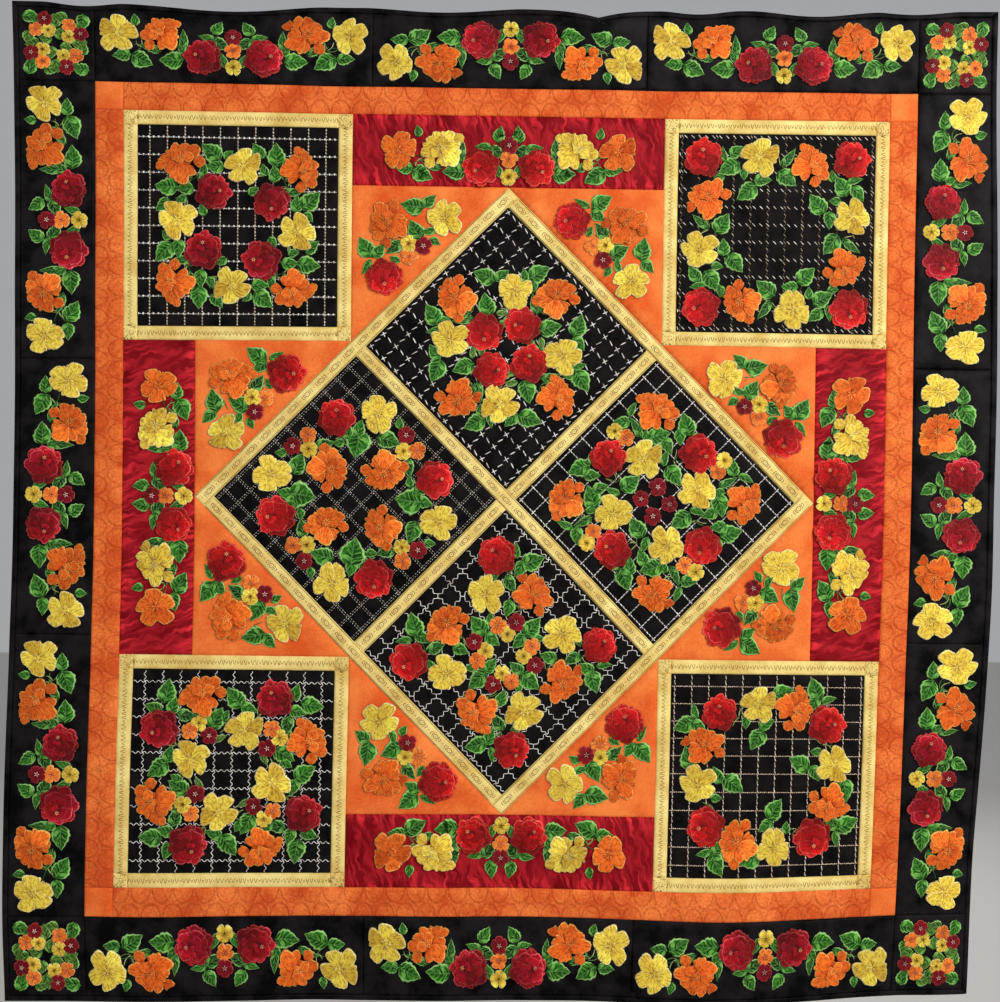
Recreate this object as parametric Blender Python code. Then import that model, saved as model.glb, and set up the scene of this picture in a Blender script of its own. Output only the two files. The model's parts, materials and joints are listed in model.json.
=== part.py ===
# Embroidered wall hanging: a pieced and quilted square of cloth, about 1.22 m on a side.
# Metres, +Z up. The front faces -Y. The origin is the middle of the top edge, and the cloth
# hangs down from there.
# Every piece is drawn flat first, as (x, z) points measured from the middle of the square, and
# then carried by the drape function into the shape in which the cloth hangs.
import math

import bmesh
import bpy
from mathutils import Vector

MM = 0.001

# Driving sizes
BLOCK_SIDE = 0.248           # black block of the diamond
SASH_WIDTH = 0.0175          # yellow sash, round the blocks and across the diamond
CORNER_BLOCK_SIDE = 0.2825   # black corner block with its sash frame
ORANGE_WIDTH = 0.0345        # orange border
BLACK_WIDTH = 0.0923         # black border inside the binding
BINDING_WIDTH = 0.0065
BORDER_PANELS = 3            # black panels along each side
QUILT_THICKNESS = 0.0035
BINDING_THICKNESS = 0.0045
SEAM_GAP = 0.0003            # space between two pieces
STEP_ACROSS = 0.034          # widest stretch across that stays straight
STEP_DOWN = 0.048            # the same down the cloth

# Sizes that follow from them
DIAMOND = (2 * BLOCK_SIDE + 3 * SASH_WIDTH) * math.sqrt(2)
STRIP_WIDTH = CORNER_BLOCK_SIDE - DIAMOND / 4
PANEL_SIDE = DIAMOND + 2 * STRIP_WIDTH
SIDE = PANEL_SIDE + 2 * (ORANGE_WIDTH + BLACK_WIDTH + BINDING_WIDTH)
HALF = SIDE / 2
HALF_BLACK = HALF - BINDING_WIDTH
HALF_ORANGE = HALF_BLACK - BLACK_WIDTH
HALF_PANEL = PANEL_SIDE / 2
HALF_OPEN = HALF_PANEL - CORNER_BLOCK_SIDE
HALF_DIAMOND = DIAMOND / 2
HALF_DIAMOND_SIDE = BLOCK_SIDE + 1.5 * SASH_WIDTH
PANEL_SEAM = HALF_ORANGE / BORDER_PANELS

# How the hung cloth has shifted in its own plane, in mm, by the height below the top edge.
# Each shift is given at the left edge, the middle and the right edge, across and upwards.
# right_bow moves the outer part of the right border alone.
HANG = (
    # down, left_x, mid_x, right_x, left_z, mid_z, right_z, right_bow
    (0.00, -1.0, 0.0, 1.0, -4.0, 1.2, 13.0, 0.0),
    (0.12, 3.0, 0.0, 0.0, -1.0, 1.5, 8.0, 0.5),
    (0.34, 7.0, 0.0, -1.5, -3.0, 3.0, 4.0, 6.5),
    (0.61, 9.0, 2.0, -3.0, 2.5, 3.7, 4.2, 6.5),
    (0.80, 5.5, 3.0, -8.0, 2.0, 1.0, 1.5, 7.5),
    (1.07, -0.5, 1.2, -15.0, -3.5, -1.0, 4.0, -1.0),
    (1.22, 4.0, 1.0, -22.0, -11.0, -8.0, 2.5, 0.0),
)
BOW_START = 0.84             # share of the half width at which the right border's bow begins

# Dips of the top edge between the points that it hangs from. A sharp dip is a notch.
TOP_DIPS = (
    # across, half_width, dip in mm, sharp
    (-0.525, 0.050, 4.5, False),
    (-0.350, 0.125, 10.0, False),
    (-0.085, 0.100, 7.0, False),
    (0.108, 0.090, 12.0, True),
    (0.236, 0.050, 4.0, False),
    (0.381, 0.085, 8.5, False),
    (0.510, 0.055, 3.5, False),
)
DIP_DEPTH = 0.095            # how far below the top edge a dip is still felt

# Low part of the bottom edge
SAG_ACROSS = 0.30
SAG_HALF_WIDTH = 0.34
SAG_DROP = 10.0 * MM
SAG_START = 0.93             # height below the top edge where it begins

# Soft folds that stand forward of the sheet, or behind it where forward is negative, in mm
FOLDS = (
    # across, down, half_across, half_down, forward
    (-0.365, 0.00, 0.100, 0.110, 6.0),
    (-0.470, 0.00, 0.070, 0.160, -3.0),
    (-0.210, 0.02, 0.080, 0.180, -3.5),
    (-0.085, 0.00, 0.090, 0.100, 5.0),
    (0.108, 0.00, 0.085, 0.120, 7.0),
    (0.200, 0.02, 0.070, 0.150, -3.0),
    (0.381, 0.00, 0.090, 0.110, 6.0),
    (0.470, 0.03, 0.060, 0.160, -3.0),
    (-0.560, 0.62, 0.110, 0.420, 4.0),
    (0.565, 0.70, 0.110, 0.400, 4.5),
    (-0.150, 0.55, 0.230, 0.460, 3.5),
    (0.190, 0.66, 0.240, 0.420, -3.5),
    (-0.430, 1.16, 0.110, 0.150, 5.0),
    (-0.240, 1.20, 0.090, 0.140, -4.0),
    (-0.060, 1.17, 0.110, 0.150, 5.5),
    (0.120, 1.20, 0.090, 0.140, -4.5),
    (0.290, 1.15, 0.110, 0.160, 6.0),
    (0.470, 1.20, 0.090, 0.160, -4.0),
    (0.600, 1.22, 0.080, 0.200, 7.0),
)
BELLY = 6.0 * MM             # how far the middle of the sheet hangs forward of its top edge


# Drape

def swell(distance):
    # 1 at the middle of a fold, easing to 0 at a distance of 1
    if abs(distance) >= 1:
        return 0
    return (1 - distance * distance) ** 2


def eased(rows, down, column):
    # Smooth curve through one column of a table whose first column is the height
    last = len(rows) - 1
    low = 0
    while low < last - 1 and down > rows[low + 1][0]:
        low += 1

    def slope(row):
        before = rows[max(row - 1, 0)]
        after = rows[min(row + 1, last)]
        return (after[column] - before[column]) / (after[0] - before[0])

    run = rows[low + 1][0] - rows[low][0]
    share = (down - rows[low][0]) / run
    start = rows[low][column] + share * run * slope(low)
    end = rows[low + 1][column] - (1 - share) * run * slope(low + 1)
    blend = share * share * (3 - 2 * share)
    return start * (1 - blend) + end * blend


def across_curve(left, middle, right, place):
    # Parabola through the shifts at the left edge, the middle and the right edge
    bend = (left + right) / 2 - middle
    return middle + (right - left) / 2 * place + bend * place * place


def top_dip(across, down):
    # How far a point near the top edge lies below where it would hang if held all along
    fade = max(0, 1 - down / DIP_DEPTH) ** 2
    total = 0
    for centre, half_width, dip, sharp in TOP_DIPS:
        distance = abs(across - centre) / half_width
        if distance < 1:
            total += dip * MM * ((1 - distance) ** 2 if sharp else swell(distance))
    return total * fade


def bottom_sag(across, down):
    low = max(0, (down - SAG_START) / (SIDE - SAG_START))
    return SAG_DROP * swell((across - SAG_ACROSS) / SAG_HALF_WIDTH) * low * (2 - low)


def forward_of_sheet(across, down):
    total = BELLY * math.sin(math.pi / 2 * min(1, down / SIDE * 1.4))
    for centre, level, half_across, half_down, forward in FOLDS:
        spread = swell((across - centre) / half_across) * swell((down - level) / half_down)
        total += forward * MM * spread
    return total


def drape(point):
    # Carry a point of the flat cloth, measured from its middle, to its place in the hung cloth
    across, depth, height = point
    down = min(max(HALF - height, 0), SIDE)
    place = across / HALF
    shift = [eased(HANG, down, column) for column in range(1, 8)]
    bow = max(0, (place - BOW_START) / (1 - BOW_START))
    move_x = across_curve(shift[0], shift[1], shift[2], place) + shift[6] * bow * bow
    move_z = across_curve(shift[3], shift[4], shift[5], place)
    fall = top_dip(across, down) + bottom_sag(across, down)
    return Vector((across + move_x * MM,
                   depth - forward_of_sheet(across, down),
                   move_z * MM - fall - down))


# Cutting and sewing

def bend_lines(step):
    # Lines along which every piece may bend: the seams, and even steps between them
    seams = (PANEL_SEAM, HALF_OPEN, HALF_OPEN + SASH_WIDTH, HALF_PANEL - SASH_WIDTH,
             HALF_PANEL, HALF_ORANGE, HALF_BLACK, HALF)
    ordered = [-seam for seam in reversed(seams)] + list(seams)
    lines = []
    for low, high in zip(ordered, ordered[1:]):
        count = max(1, round((high - low) / step + 0.3))
        lines += [low + (high - low) * i / count for i in range(count)]
    return lines[1:]


LINES_ACROSS = bend_lines(STEP_ACROSS)
LINES_DOWN = bend_lines(STEP_DOWN)


def material(name, colour, roughness, metallic=0.0):
    made = bpy.data.materials.new(name)
    made.use_nodes = True
    shader = made.node_tree.nodes["Principled BSDF"]
    shader.inputs["Base Color"].default_value = (*colour, 1)
    shader.inputs["Roughness"].default_value = roughness
    shader.inputs["Metallic"].default_value = metallic
    made.diffuse_color = (*colour, 1)
    return made


def rectangle(left, bottom, right, top):
    return [(left, bottom), (right, bottom), (right, top), (left, top)]


def turned(outline, quarters):
    # Turn an outline about the middle of the square, anticlockwise from the front
    for _ in range(quarters):
        outline = [(-z, x) for x, z in outline]
    return outline


def on_point(outline):
    # Turn an outline of the diamond, drawn square, by an eighth clockwise
    return [((p + q) / math.sqrt(2), (q - p) / math.sqrt(2)) for p, q in outline]


def trimmed(outline):
    # Move every side of an anticlockwise convex outline inwards by half a seam gap
    moved = []
    for i, here in enumerate(outline):
        here = Vector(here)
        along = (here - Vector(outline[i - 1])).normalized()
        onward = (Vector(outline[(i + 1) % len(outline)]) - here).normalized()
        turn = along.x * onward.y - along.y * onward.x
        moved.append(here + (onward - along) * (SEAM_GAP / 2 / turn))
    return moved


def cut_along(sheet, place, normal):
    geometry = sheet.verts[:] + sheet.edges[:] + sheet.faces[:]
    bmesh.ops.bisect_plane(sheet, geom=geometry, dist=1e-6, plane_co=place, plane_no=normal)


def cut_window(sheet, middle, half_side):
    # Cut a square window out of the sheet
    reach = half_side + SEAM_GAP / 2
    for side in (-reach, reach):
        cut_along(sheet, (middle.x + side, 0, 0), (1, 0, 0))
        cut_along(sheet, (0, 0, middle.y + side), (0, 0, 1))
    inside = []
    for face in sheet.faces:
        centre = face.calc_center_median()
        if max(abs(centre.x - middle.x), abs(centre.z - middle.y)) < reach:
            inside.append(face)
    bmesh.ops.delete(sheet, geom=inside, context="FACES")


def add_piece(name, outline, surface, thickness=QUILT_THICKNESS, window=0):
    # One cut piece of cloth, as a closed slab that hangs with the rest.
    # window is the half side of a square opening in its middle.
    sheet = bmesh.new()
    sheet.faces.new([sheet.verts.new((point.x, 0, point.y)) for point in trimmed(outline)])
    for across in LINES_ACROSS:
        cut_along(sheet, (across, 0, 0), (1, 0, 0))
    for height in LINES_DOWN:
        cut_along(sheet, (0, 0, height), (0, 0, 1))
    if window:
        middle = sum((Vector(point) for point in outline), Vector((0, 0))) / len(outline)
        cut_window(sheet, middle, window)
    bmesh.ops.solidify(sheet, geom=sheet.faces[:], thickness=thickness)
    back = max(vert.co.y for vert in sheet.verts)
    for vert in sheet.verts:
        vert.co.y += thickness / 2 - back
        vert.co = drape(vert.co)
    bmesh.ops.triangulate(sheet, faces=sheet.faces[:])
    bmesh.ops.recalc_face_normals(sheet, faces=sheet.faces[:])
    mesh = bpy.data.meshes.new(name)
    sheet.to_mesh(mesh)
    sheet.free()
    mesh.materials.append(surface)
    piece = bpy.data.objects.new(name, mesh)
    bpy.context.scene.collection.objects.link(piece)


# The pieces of each side and corner, drawn at the top and the top left and turned round

SIDES = ("top", "left", "bottom", "right")
CORNERS = ("top_left", "bottom_left", "bottom_right", "top_right")


def add_binding(quarters, black):
    outline = [(-HALF_BLACK, HALF_BLACK), (HALF_BLACK, HALF_BLACK), (HALF, HALF), (-HALF, HALF)]
    add_piece(f"binding_{SIDES[quarters]}", turned(outline, quarters), black, BINDING_THICKNESS)


def add_black_border(quarters, black):
    # Panels are numbered clockwise from the front
    for i in range(BORDER_PANELS):
        left = -HALF_ORANGE + 2 * i * PANEL_SEAM
        outline = rectangle(left, HALF_ORANGE, left + 2 * PANEL_SEAM, HALF_BLACK)
        add_piece(f"border_{SIDES[quarters]}_{i + 1}", turned(outline, quarters), black)
    corner = rectangle(-HALF_BLACK, HALF_ORANGE, -HALF_ORANGE, HALF_BLACK)
    add_piece(f"border_corner_{CORNERS[quarters]}", turned(corner, quarters), black)


def add_orange_border(quarters, orange):
    strip = rectangle(-HALF_PANEL, HALF_PANEL, HALF_PANEL, HALF_ORANGE)
    add_piece(f"orange_{SIDES[quarters]}", turned(strip, quarters), orange)
    corner = rectangle(-HALF_ORANGE, HALF_PANEL, -HALF_PANEL, HALF_ORANGE)
    add_piece(f"orange_corner_{CORNERS[quarters]}", turned(corner, quarters), orange)


def add_crimson_strip(quarters, crimson):
    strip = rectangle(-HALF_OPEN, HALF_DIAMOND, HALF_OPEN, HALF_PANEL)
    add_piece(f"crimson_{SIDES[quarters]}", turned(strip, quarters), crimson)


def add_corner_block(quarters, ground, yellow):
    frame = rectangle(-HALF_PANEL, HALF_OPEN, -HALF_OPEN, HALF_PANEL)
    inside = rectangle(-HALF_PANEL + SASH_WIDTH, HALF_OPEN + SASH_WIDTH,
                       -HALF_OPEN - SASH_WIDTH, HALF_PANEL - SASH_WIDTH)
    window = CORNER_BLOCK_SIDE / 2 - SASH_WIDTH
    corner = CORNERS[quarters]
    add_piece(f"block_{corner}_frame", turned(frame, quarters), yellow, window=window)
    add_piece(f"block_{corner}_ground", turned(inside, quarters), ground)


def add_triangles(quarters, orange):
    # The two triangles between a crimson strip, its two corner blocks and the diamond
    side = SIDES[quarters]
    low = HALF_DIAMOND - HALF_OPEN
    first = [(-HALF_OPEN, low), (0, HALF_DIAMOND), (-HALF_OPEN, HALF_DIAMOND)]
    second = [(0, HALF_DIAMOND), (HALF_OPEN, low), (HALF_OPEN, HALF_DIAMOND)]
    add_piece(f"triangle_{side}_1", turned(first, quarters), orange)
    add_piece(f"triangle_{side}_2", turned(second, quarters), orange)


# The diamond, drawn square: p runs to its lower right side, q to its upper right side

def add_diamond_sashes(yellow):
    outer = HALF_DIAMOND_SIDE
    inner = outer - SASH_WIDTH
    arm = SASH_WIDTH / 2
    sashes = {
        "sash_upper_left": (-outer, -outer, -inner, outer),
        "sash_lower_right": (inner, -outer, outer, outer),
        "sash_upper_right": (-inner, inner, inner, outer),
        "sash_lower_left": (-inner, -outer, inner, -inner),
        "sash_cross_long": (-inner, -arm, inner, arm),
        "sash_cross_upper": (-arm, arm, arm, inner),
        "sash_cross_lower": (-arm, -inner, arm, -arm),
    }
    for name, sides in sashes.items():
        add_piece(name, on_point(rectangle(*sides)), yellow)


def add_diamond_grounds(ground):
    near = SASH_WIDTH / 2
    far = near + BLOCK_SIDE
    blocks = {
        "diamond_top": (-far, near, -near, far),
        "diamond_right": (near, near, far, far),
        "diamond_bottom": (near, -far, far, -near),
        "diamond_left": (-far, -far, -near, -near),
    }
    for name, sides in blocks.items():
        add_piece(name, on_point(rectangle(*sides)), ground)


def main():
    for thing in list(bpy.data.objects):
        bpy.data.objects.remove(thing, do_unlink=True)
    black = material("black_satin", (0.012, 0.011, 0.016), 0.45)
    ground = material("block_ground", (0.010, 0.009, 0.012), 0.6)
    orange = material("orange_cotton", (0.83, 0.19, 0.04), 0.85)
    crimson = material("crimson_satin", (0.42, 0.006, 0.03), 0.4)
    yellow = material("yellow_cotton", (0.78, 0.60, 0.20), 0.8)
    for quarters in range(4):
        add_binding(quarters, black)
        add_black_border(quarters, black)
        add_orange_border(quarters, orange)
        add_crimson_strip(quarters, crimson)
        add_corner_block(quarters, ground, yellow)
        add_triangles(quarters, orange)
    add_diamond_sashes(yellow)
    add_diamond_grounds(ground)


main()
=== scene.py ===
import json
import math
import bpy
import numpy as np
from mathutils import Matrix, Vector

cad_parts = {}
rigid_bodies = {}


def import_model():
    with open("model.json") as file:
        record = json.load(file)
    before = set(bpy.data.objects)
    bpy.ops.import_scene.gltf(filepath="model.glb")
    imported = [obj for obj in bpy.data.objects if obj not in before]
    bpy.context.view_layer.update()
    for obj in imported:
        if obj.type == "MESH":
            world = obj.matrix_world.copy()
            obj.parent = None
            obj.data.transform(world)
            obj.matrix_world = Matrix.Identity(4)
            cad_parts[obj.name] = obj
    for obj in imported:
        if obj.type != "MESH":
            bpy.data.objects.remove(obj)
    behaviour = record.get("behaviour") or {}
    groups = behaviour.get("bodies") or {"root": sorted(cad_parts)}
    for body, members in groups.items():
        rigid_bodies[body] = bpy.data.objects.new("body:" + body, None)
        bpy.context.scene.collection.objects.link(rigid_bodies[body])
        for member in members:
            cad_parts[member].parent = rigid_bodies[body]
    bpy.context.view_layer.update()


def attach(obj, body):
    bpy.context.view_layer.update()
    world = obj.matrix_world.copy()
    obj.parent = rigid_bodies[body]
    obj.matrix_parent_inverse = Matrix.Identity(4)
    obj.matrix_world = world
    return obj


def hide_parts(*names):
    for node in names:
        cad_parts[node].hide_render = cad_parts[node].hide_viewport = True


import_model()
print("frame loaded")

mm = 0.001
root2 = math.sqrt(2)

# The quilt's own sizes, in metres
quilt = {
    "blockSide": 0.248,
    "sash": 0.0175,
    "cornerBlock": 0.2825,
    "orange": 0.0345,
    "black": 0.0923,
    "binding": 0.0065,
    "panels": 3,
    "thick": 0.0035,
    "bindingThick": 0.0045,
    "bindingGirth": 0.022,
}
diamond = (2 * quilt["blockSide"] + 3 * quilt["sash"]) * root2
strip = quilt["cornerBlock"] - diamond / 4
halfDiamond = diamond / 2
diamondSide = quilt["blockSide"] + 1.5 * quilt["sash"]   # half the side of the diamond
halfPanel = halfDiamond + strip
halfOrange = halfPanel + quilt["orange"]
halfBlack = halfOrange + quilt["black"]
half = halfBlack + quilt["binding"]
fullSide = 2 * half
halfOpen = halfPanel - quilt["cornerBlock"]
panelSeam = halfOrange / quilt["panels"]


# How it hangs

# Shift of the cloth in its own plane, in mm, by the height below the top edge: across at the
# left edge, middle and right edge, upwards at the same places, and the right border's own bow
hangTable = np.array([
    # down, leftX, midX, rightX, leftZ, midZ, rightZ, rightBow
    (0.00, -1.0, 0.0, 1.0, -4.0, 1.2, 13.0, 0.0),
    (0.12, 3.0, 0.0, 0.0, -1.0, 1.5, 8.0, 0.5),
    (0.34, 7.0, 0.0, -1.5, -3.0, 3.0, 4.0, 6.5),
    (0.61, 9.0, 2.0, -3.0, 2.5, 3.7, 4.2, 6.5),
    (0.80, 5.5, 3.0, -8.0, 2.0, 1.0, 1.5, 7.5),
    (1.07, -0.5, 1.2, -15.0, -3.5, -1.0, 4.0, -1.0),
    (1.22, 4.0, 1.0, -22.0, -11.0, -8.0, 2.5, 0.0),
])
bowStart = 0.84

topDips = (
    # across, halfWidth, dip in mm, sharp
    (-0.525, 0.050, 4.5, False),
    (-0.350, 0.125, 10.0, False),
    (-0.085, 0.100, 7.0, False),
    (0.108, 0.090, 12.0, True),
    (0.236, 0.050, 4.0, False),
    (0.381, 0.085, 8.5, False),
    (0.510, 0.055, 3.5, False),
)
dipDepth = 0.095
bottomSag = {"across": 0.30, "halfWidth": 0.34, "drop": 0.010, "start": 0.93}

softFolds = (
    # across, down, halfAcross, halfDown, forward in mm
    (-0.365, 0.00, 0.100, 0.110, 6.0),
    (-0.470, 0.00, 0.070, 0.160, -3.0),
    (-0.210, 0.02, 0.080, 0.180, -3.5),
    (-0.085, 0.00, 0.090, 0.100, 5.0),
    (0.108, 0.00, 0.085, 0.120, 7.0),
    (0.200, 0.02, 0.070, 0.150, -3.0),
    (0.381, 0.00, 0.090, 0.110, 6.0),
    (0.470, 0.03, 0.060, 0.160, -3.0),
    (-0.560, 0.62, 0.110, 0.420, 4.0),
    (0.565, 0.70, 0.110, 0.400, 4.5),
    (-0.150, 0.55, 0.230, 0.460, 3.5),
    (0.190, 0.66, 0.240, 0.420, -3.5),
    (-0.430, 1.16, 0.110, 0.150, 5.0),
    (-0.240, 1.20, 0.090, 0.140, -4.0),
    (-0.060, 1.17, 0.110, 0.150, 5.5),
    (0.120, 1.20, 0.090, 0.140, -4.5),
    (0.290, 1.15, 0.110, 0.160, 6.0),
    (0.470, 1.20, 0.090, 0.160, -4.0),
    (0.600, 1.22, 0.080, 0.200, 7.0),
)
belly = {"forward": 6.0 * mm, "haste": 1.4}


def swell(distance):
    # (1 - d squared) squared inside a distance of 1, and 0 outside it
    return np.maximum(0, 1 - distance * distance) ** 2


def easedColumns(down):
    # Cubic through each column of the hang table, with slopes taken across neighbouring rows
    levels = hangTable[:, 0]
    values = hangTable[:, 1:]
    before = np.maximum(np.arange(len(levels)) - 1, 0)
    after = np.minimum(np.arange(len(levels)) + 1, len(levels) - 1)
    slopes = (values[after] - values[before]) / (levels[after] - levels[before])[:, None]
    low = np.clip(np.searchsorted(levels, down, side="left") - 1, 0, len(levels) - 2)
    run = (levels[low + 1] - levels[low])[..., None]
    share = (down - levels[low])[..., None] / run
    start = values[low] + share * run * slopes[low]
    end = values[low + 1] - (1 - share) * run * slopes[low + 1]
    blend = share * share * (3 - 2 * share)
    return (start * (1 - blend) + end * blend) * mm


def acrossCurve(left, middle, right, place):
    # Parabola through the shifts at the left edge, the middle and the right edge
    return middle + (right - left) / 2 * place + ((left + right) / 2 - middle) * place * place


def hang(x, z, lift):
    # Carries flat points, measured from the middle, to the hung cloth. lift is the height of a
    # point above the cloth's middle layer, towards the viewer.
    down = np.clip(half - z, 0, fullSide)
    place = x / half
    shift = easedColumns(down)
    bow = np.maximum(0, (place - bowStart) / (1 - bowStart)) ** 2
    moveX = acrossCurve(shift[..., 0], shift[..., 1], shift[..., 2], place) + shift[..., 6] * bow
    moveZ = acrossCurve(shift[..., 3], shift[..., 4], shift[..., 5], place)
    fade = np.maximum(0, 1 - down / dipDepth) ** 2
    fall = np.zeros_like(x)
    for across, halfWidth, dip, sharp in topDips:
        distance = np.abs(x - across) / halfWidth
        fall += dip * mm * fade * (np.maximum(0, 1 - distance) ** 2 if sharp else swell(distance))
    low = np.maximum(0, (down - bottomSag["start"]) / (fullSide - bottomSag["start"]))
    spread = swell((x - bottomSag["across"]) / bottomSag["halfWidth"])
    fall += bottomSag["drop"] * spread * low * (2 - low)
    haste = np.minimum(1, down / fullSide * belly["haste"])
    forward = belly["forward"] * np.sin(math.pi / 2 * haste)
    for across, level, halfAcross, halfDown, reach in softFolds:
        forward += reach * mm * swell((x - across) / halfAcross) * swell((down - level) / halfDown)
    return np.stack([x + moveX, -lift - forward, moveZ - fall - down], axis=-1)


# Meshes

def buildPiece(name, points, faces, surfaces, uv=None, tint=None, faceSurface=None):
    # Puts whole arrays of points and faces into one mesh object
    mesh = bpy.data.meshes.new(name)
    mesh.from_pydata(points.tolist(), [], [row for part in faces for row in part.tolist()])
    for surface in surfaces:
        mesh.materials.append(surface)
    if faceSurface is not None:
        mesh.polygons.foreach_set("material_index", faceSurface.astype(np.int32))
    if uv is not None:
        corners = np.empty(len(mesh.loops), np.int32)
        mesh.loops.foreach_get("vertex_index", corners)
        layer = mesh.uv_layers.new(name="threadMap")
        layer.data.foreach_set("uv", uv[corners].ravel().astype(np.float32))
    if tint is not None:
        paint = mesh.color_attributes.new("tint", "FLOAT_COLOR", "POINT")
        rgba = np.column_stack([tint, np.ones(len(tint))]).astype(np.float32)
        paint.data.foreach_set("color", rgba.ravel())
    mesh.shade_smooth()
    mesh.validate()
    mesh.update()
    piece = bpy.data.objects.new(name, mesh)
    bpy.context.scene.collection.objects.link(piece)
    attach(piece, "root")
    return piece


def marks(length, step, edge):
    # Places along a side: evenly spaced, with closer ones beside both seams
    count = max(1, round((length - 2 * edge[-1]) / step))
    inner = np.linspace(edge[-1], length - edge[-1], count + 1)
    near = np.array(edge[:-1])
    return np.concatenate([near, inner, length - near[::-1]])


def slabFaces(index, keep=None):
    # Faces of a closed slab over a grid of point numbers, anticlockwise from the front. The back
    # layer's numbers follow the front's. keep is a mask of the quads of a triangular piece.
    count = index.max() + 1
    a, b, c, d = index[:-1, :-1], index[1:, :-1], index[1:, 1:], index[:-1, 1:]
    if keep is None:
        front = np.stack([a, b, c, d], -1).reshape(-1, 4)
        rim = np.concatenate([index[:, 0], index[-1, 1:], index[-2::-1, -1], index[0, -2:0:-1]])
        halves = np.empty((0, 3), int)
    else:
        front = np.stack([a, b, c, d], -1)[keep > 0]
        halves = np.stack([a, b, d], -1)[keep == 0]
        last = len(index) - 1
        slant = index[last - np.arange(1, last), np.arange(1, last)]
        rim = np.concatenate([index[:, 0], slant, index[0, :0:-1]])
    after = np.roll(rim, -1)
    wall = np.stack([rim, rim + count, after + count, after], -1)
    backs = [front[:, ::-1] + count, halves[:, ::-1] + count]
    return [front, halves, wall] + backs


# Finishes

def shade(red, green, blue):
    # Screen colour, 0 to 255, as linear light
    level = np.array([red, green, blue]) / 255
    return ((level + 0.055) / 1.055) ** 2.4


# clouds and flecks are scales of the colour's noise, the latter with a weight, and range is the
# noise of the deep and of the pale colour. pitch is the threads' spacing in metres, and weave and
# wrinkle are heights in mm.
satin = {"flecks": (700, 0.2), "range": (0.32, 0.68), "sheen": 0.0, "gloss": 0.05,
         "pitch": 0.0005, "weave": 0.04}
cotton = {"range": (0.32, 0.68), "rough": 0.8, "sheen": 0.05, "gloss": 0.2, "pitch": 0.0006,
          "weave": 0.06}
finish = {
    # Black satin: its pale clouds are partly uneven tone and partly painted sheen, patches of light
    # painted into the satin's colour
    "black_satin": {
        **satin, "deep": shade(0, 0, 0), "pale": shade(29, 25, 28), "clouds": 34,
        "range": (0.38, 0.6), "rough": 0.48, "wrinkle": 0.7, "wrinkleScale": 60},
    "block_ground": {
        **satin, "deep": shade(0, 0, 0), "pale": shade(26, 22, 23), "clouds": 44, "rough": 0.6,
        "pitch": 0.0006, "weave": 0.05, "wrinkle": 0.4, "wrinkleScale": 90},
    "orange_cotton": {
        **cotton, "deep": shade(222, 86, 26), "pale": shade(252, 138, 64), "clouds": 18,
        "flecks": (420, 0.45), "wrinkle": 0.6, "wrinkleScale": 110},
    "orange_border": {
        **cotton, "deep": shade(206, 76, 24), "pale": shade(250, 130, 60), "clouds": 24,
        "flecks": (330, 0.8), "wrinkle": 0.8, "wrinkleScale": 130},
    "crimson_satin": {
        **satin, "deep": shade(112, 0, 14), "pale": shade(255, 56, 68), "clouds": 30, "rough": 0.5,
        "wrinkle": 0.3, "wrinkleScale": 120},
    "yellow_cotton": {
        **cotton, "deep": shade(216, 182, 97), "pale": shade(252, 230, 147), "clouds": 34,
        "flecks": (380, 0.5), "rough": 0.75, "wrinkle": 0.5, "wrinkleScale": 150},
    "backing": {
        **cotton, "deep": shade(38, 36, 40), "pale": shade(53, 51, 55), "clouds": 12,
        "flecks": (700, 0.5), "rough": 0.85, "sheen": 0.0, "gloss": 0.15, "pitch": 0.0007,
        "weave": 0.07, "wrinkle": 0.5, "wrinkleScale": 80},
}
weaveShade = 0.12

# Shells quilted into the orange border, in metres, how high they stand in mm and how dark they are
shells = {"pitch": 0.026, "halfWidth": 0.0118, "reach": 0.0168, "line": 0.0016, "high": 0.8,
          "dark": 0.3}
specks = {"scale": 520, "range": (0.55, 0.65), "most": 0.75, "colour": shade(168, 78, 18)}

# Gathers of the crimson satin: how the noise is drawn out, how far it wanders and slants, and how
# high it stands in the middle and in all. Their ridges also carry a painted highlight in the pale
# crimson, with painted shade in the deep crimson between them; cloudy is how much of the cloth's
# cloudy colour stays under that.
gathers = {"drawn": (150, 26), "wander": (60, 0.02), "slant": 0.3, "range": (0.44, 0.78),
           "middle": 0.35, "high": 1.3, "cloudy": 0.16}

# Stitches of the flowers: scales along and across a thread, how much each changes the shade and
# the height in mm, and the colours that the thread's own is multiplied by
threads = {
    "bundle": {"scale": (190, 520, 1), "range": (0.36, 0.54), "shade": 0.6, "high": 0.35},
    "strand": {"scale": (260, 2200, 1), "shade": 0.4, "high": 0.3},
    "mottle": {"scale": 150, "range": (0.4, 0.6), "shade": 0.2},
    "dark": (0.4, 0.24, 0.18), "light": (1.2, 1.2, 1.2), "rough": 0.5, "gloss": 0.12,
}

# Stitches of the leaves. The map across holds leafMap times the share of the half width. dark
# and shadow are what the leaf's own colour is multiplied by, with the range of noise. The last
# three are colours laid over it: where each starts and is full, as noise or as the place on the
# map across, and its share. Heights are in mm.
leafMap = 10 * mm
leafThreads = {
    "slant": 0.8, "wander": (120, 0.006), "broad": (80, 350), "narrow": (260, 1900),
    "high": 0.35, "deep": 0.5,
    "dark": ((0.16, 0.3, 0.2), (0.5, 0.57)), "shadow": ((0.5, 0.58, 0.5), (0.25, 0.6)),
    "pale": (shade(150, 220, 104), (0.45, 0.38), 0.6),
    "midrib": (shade(132, 200, 112), (0.0009, 0.0003), 0.3),
    "rim": (shade(184, 238, 146), (0.0076, 0.0084), 0.85),
}


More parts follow.
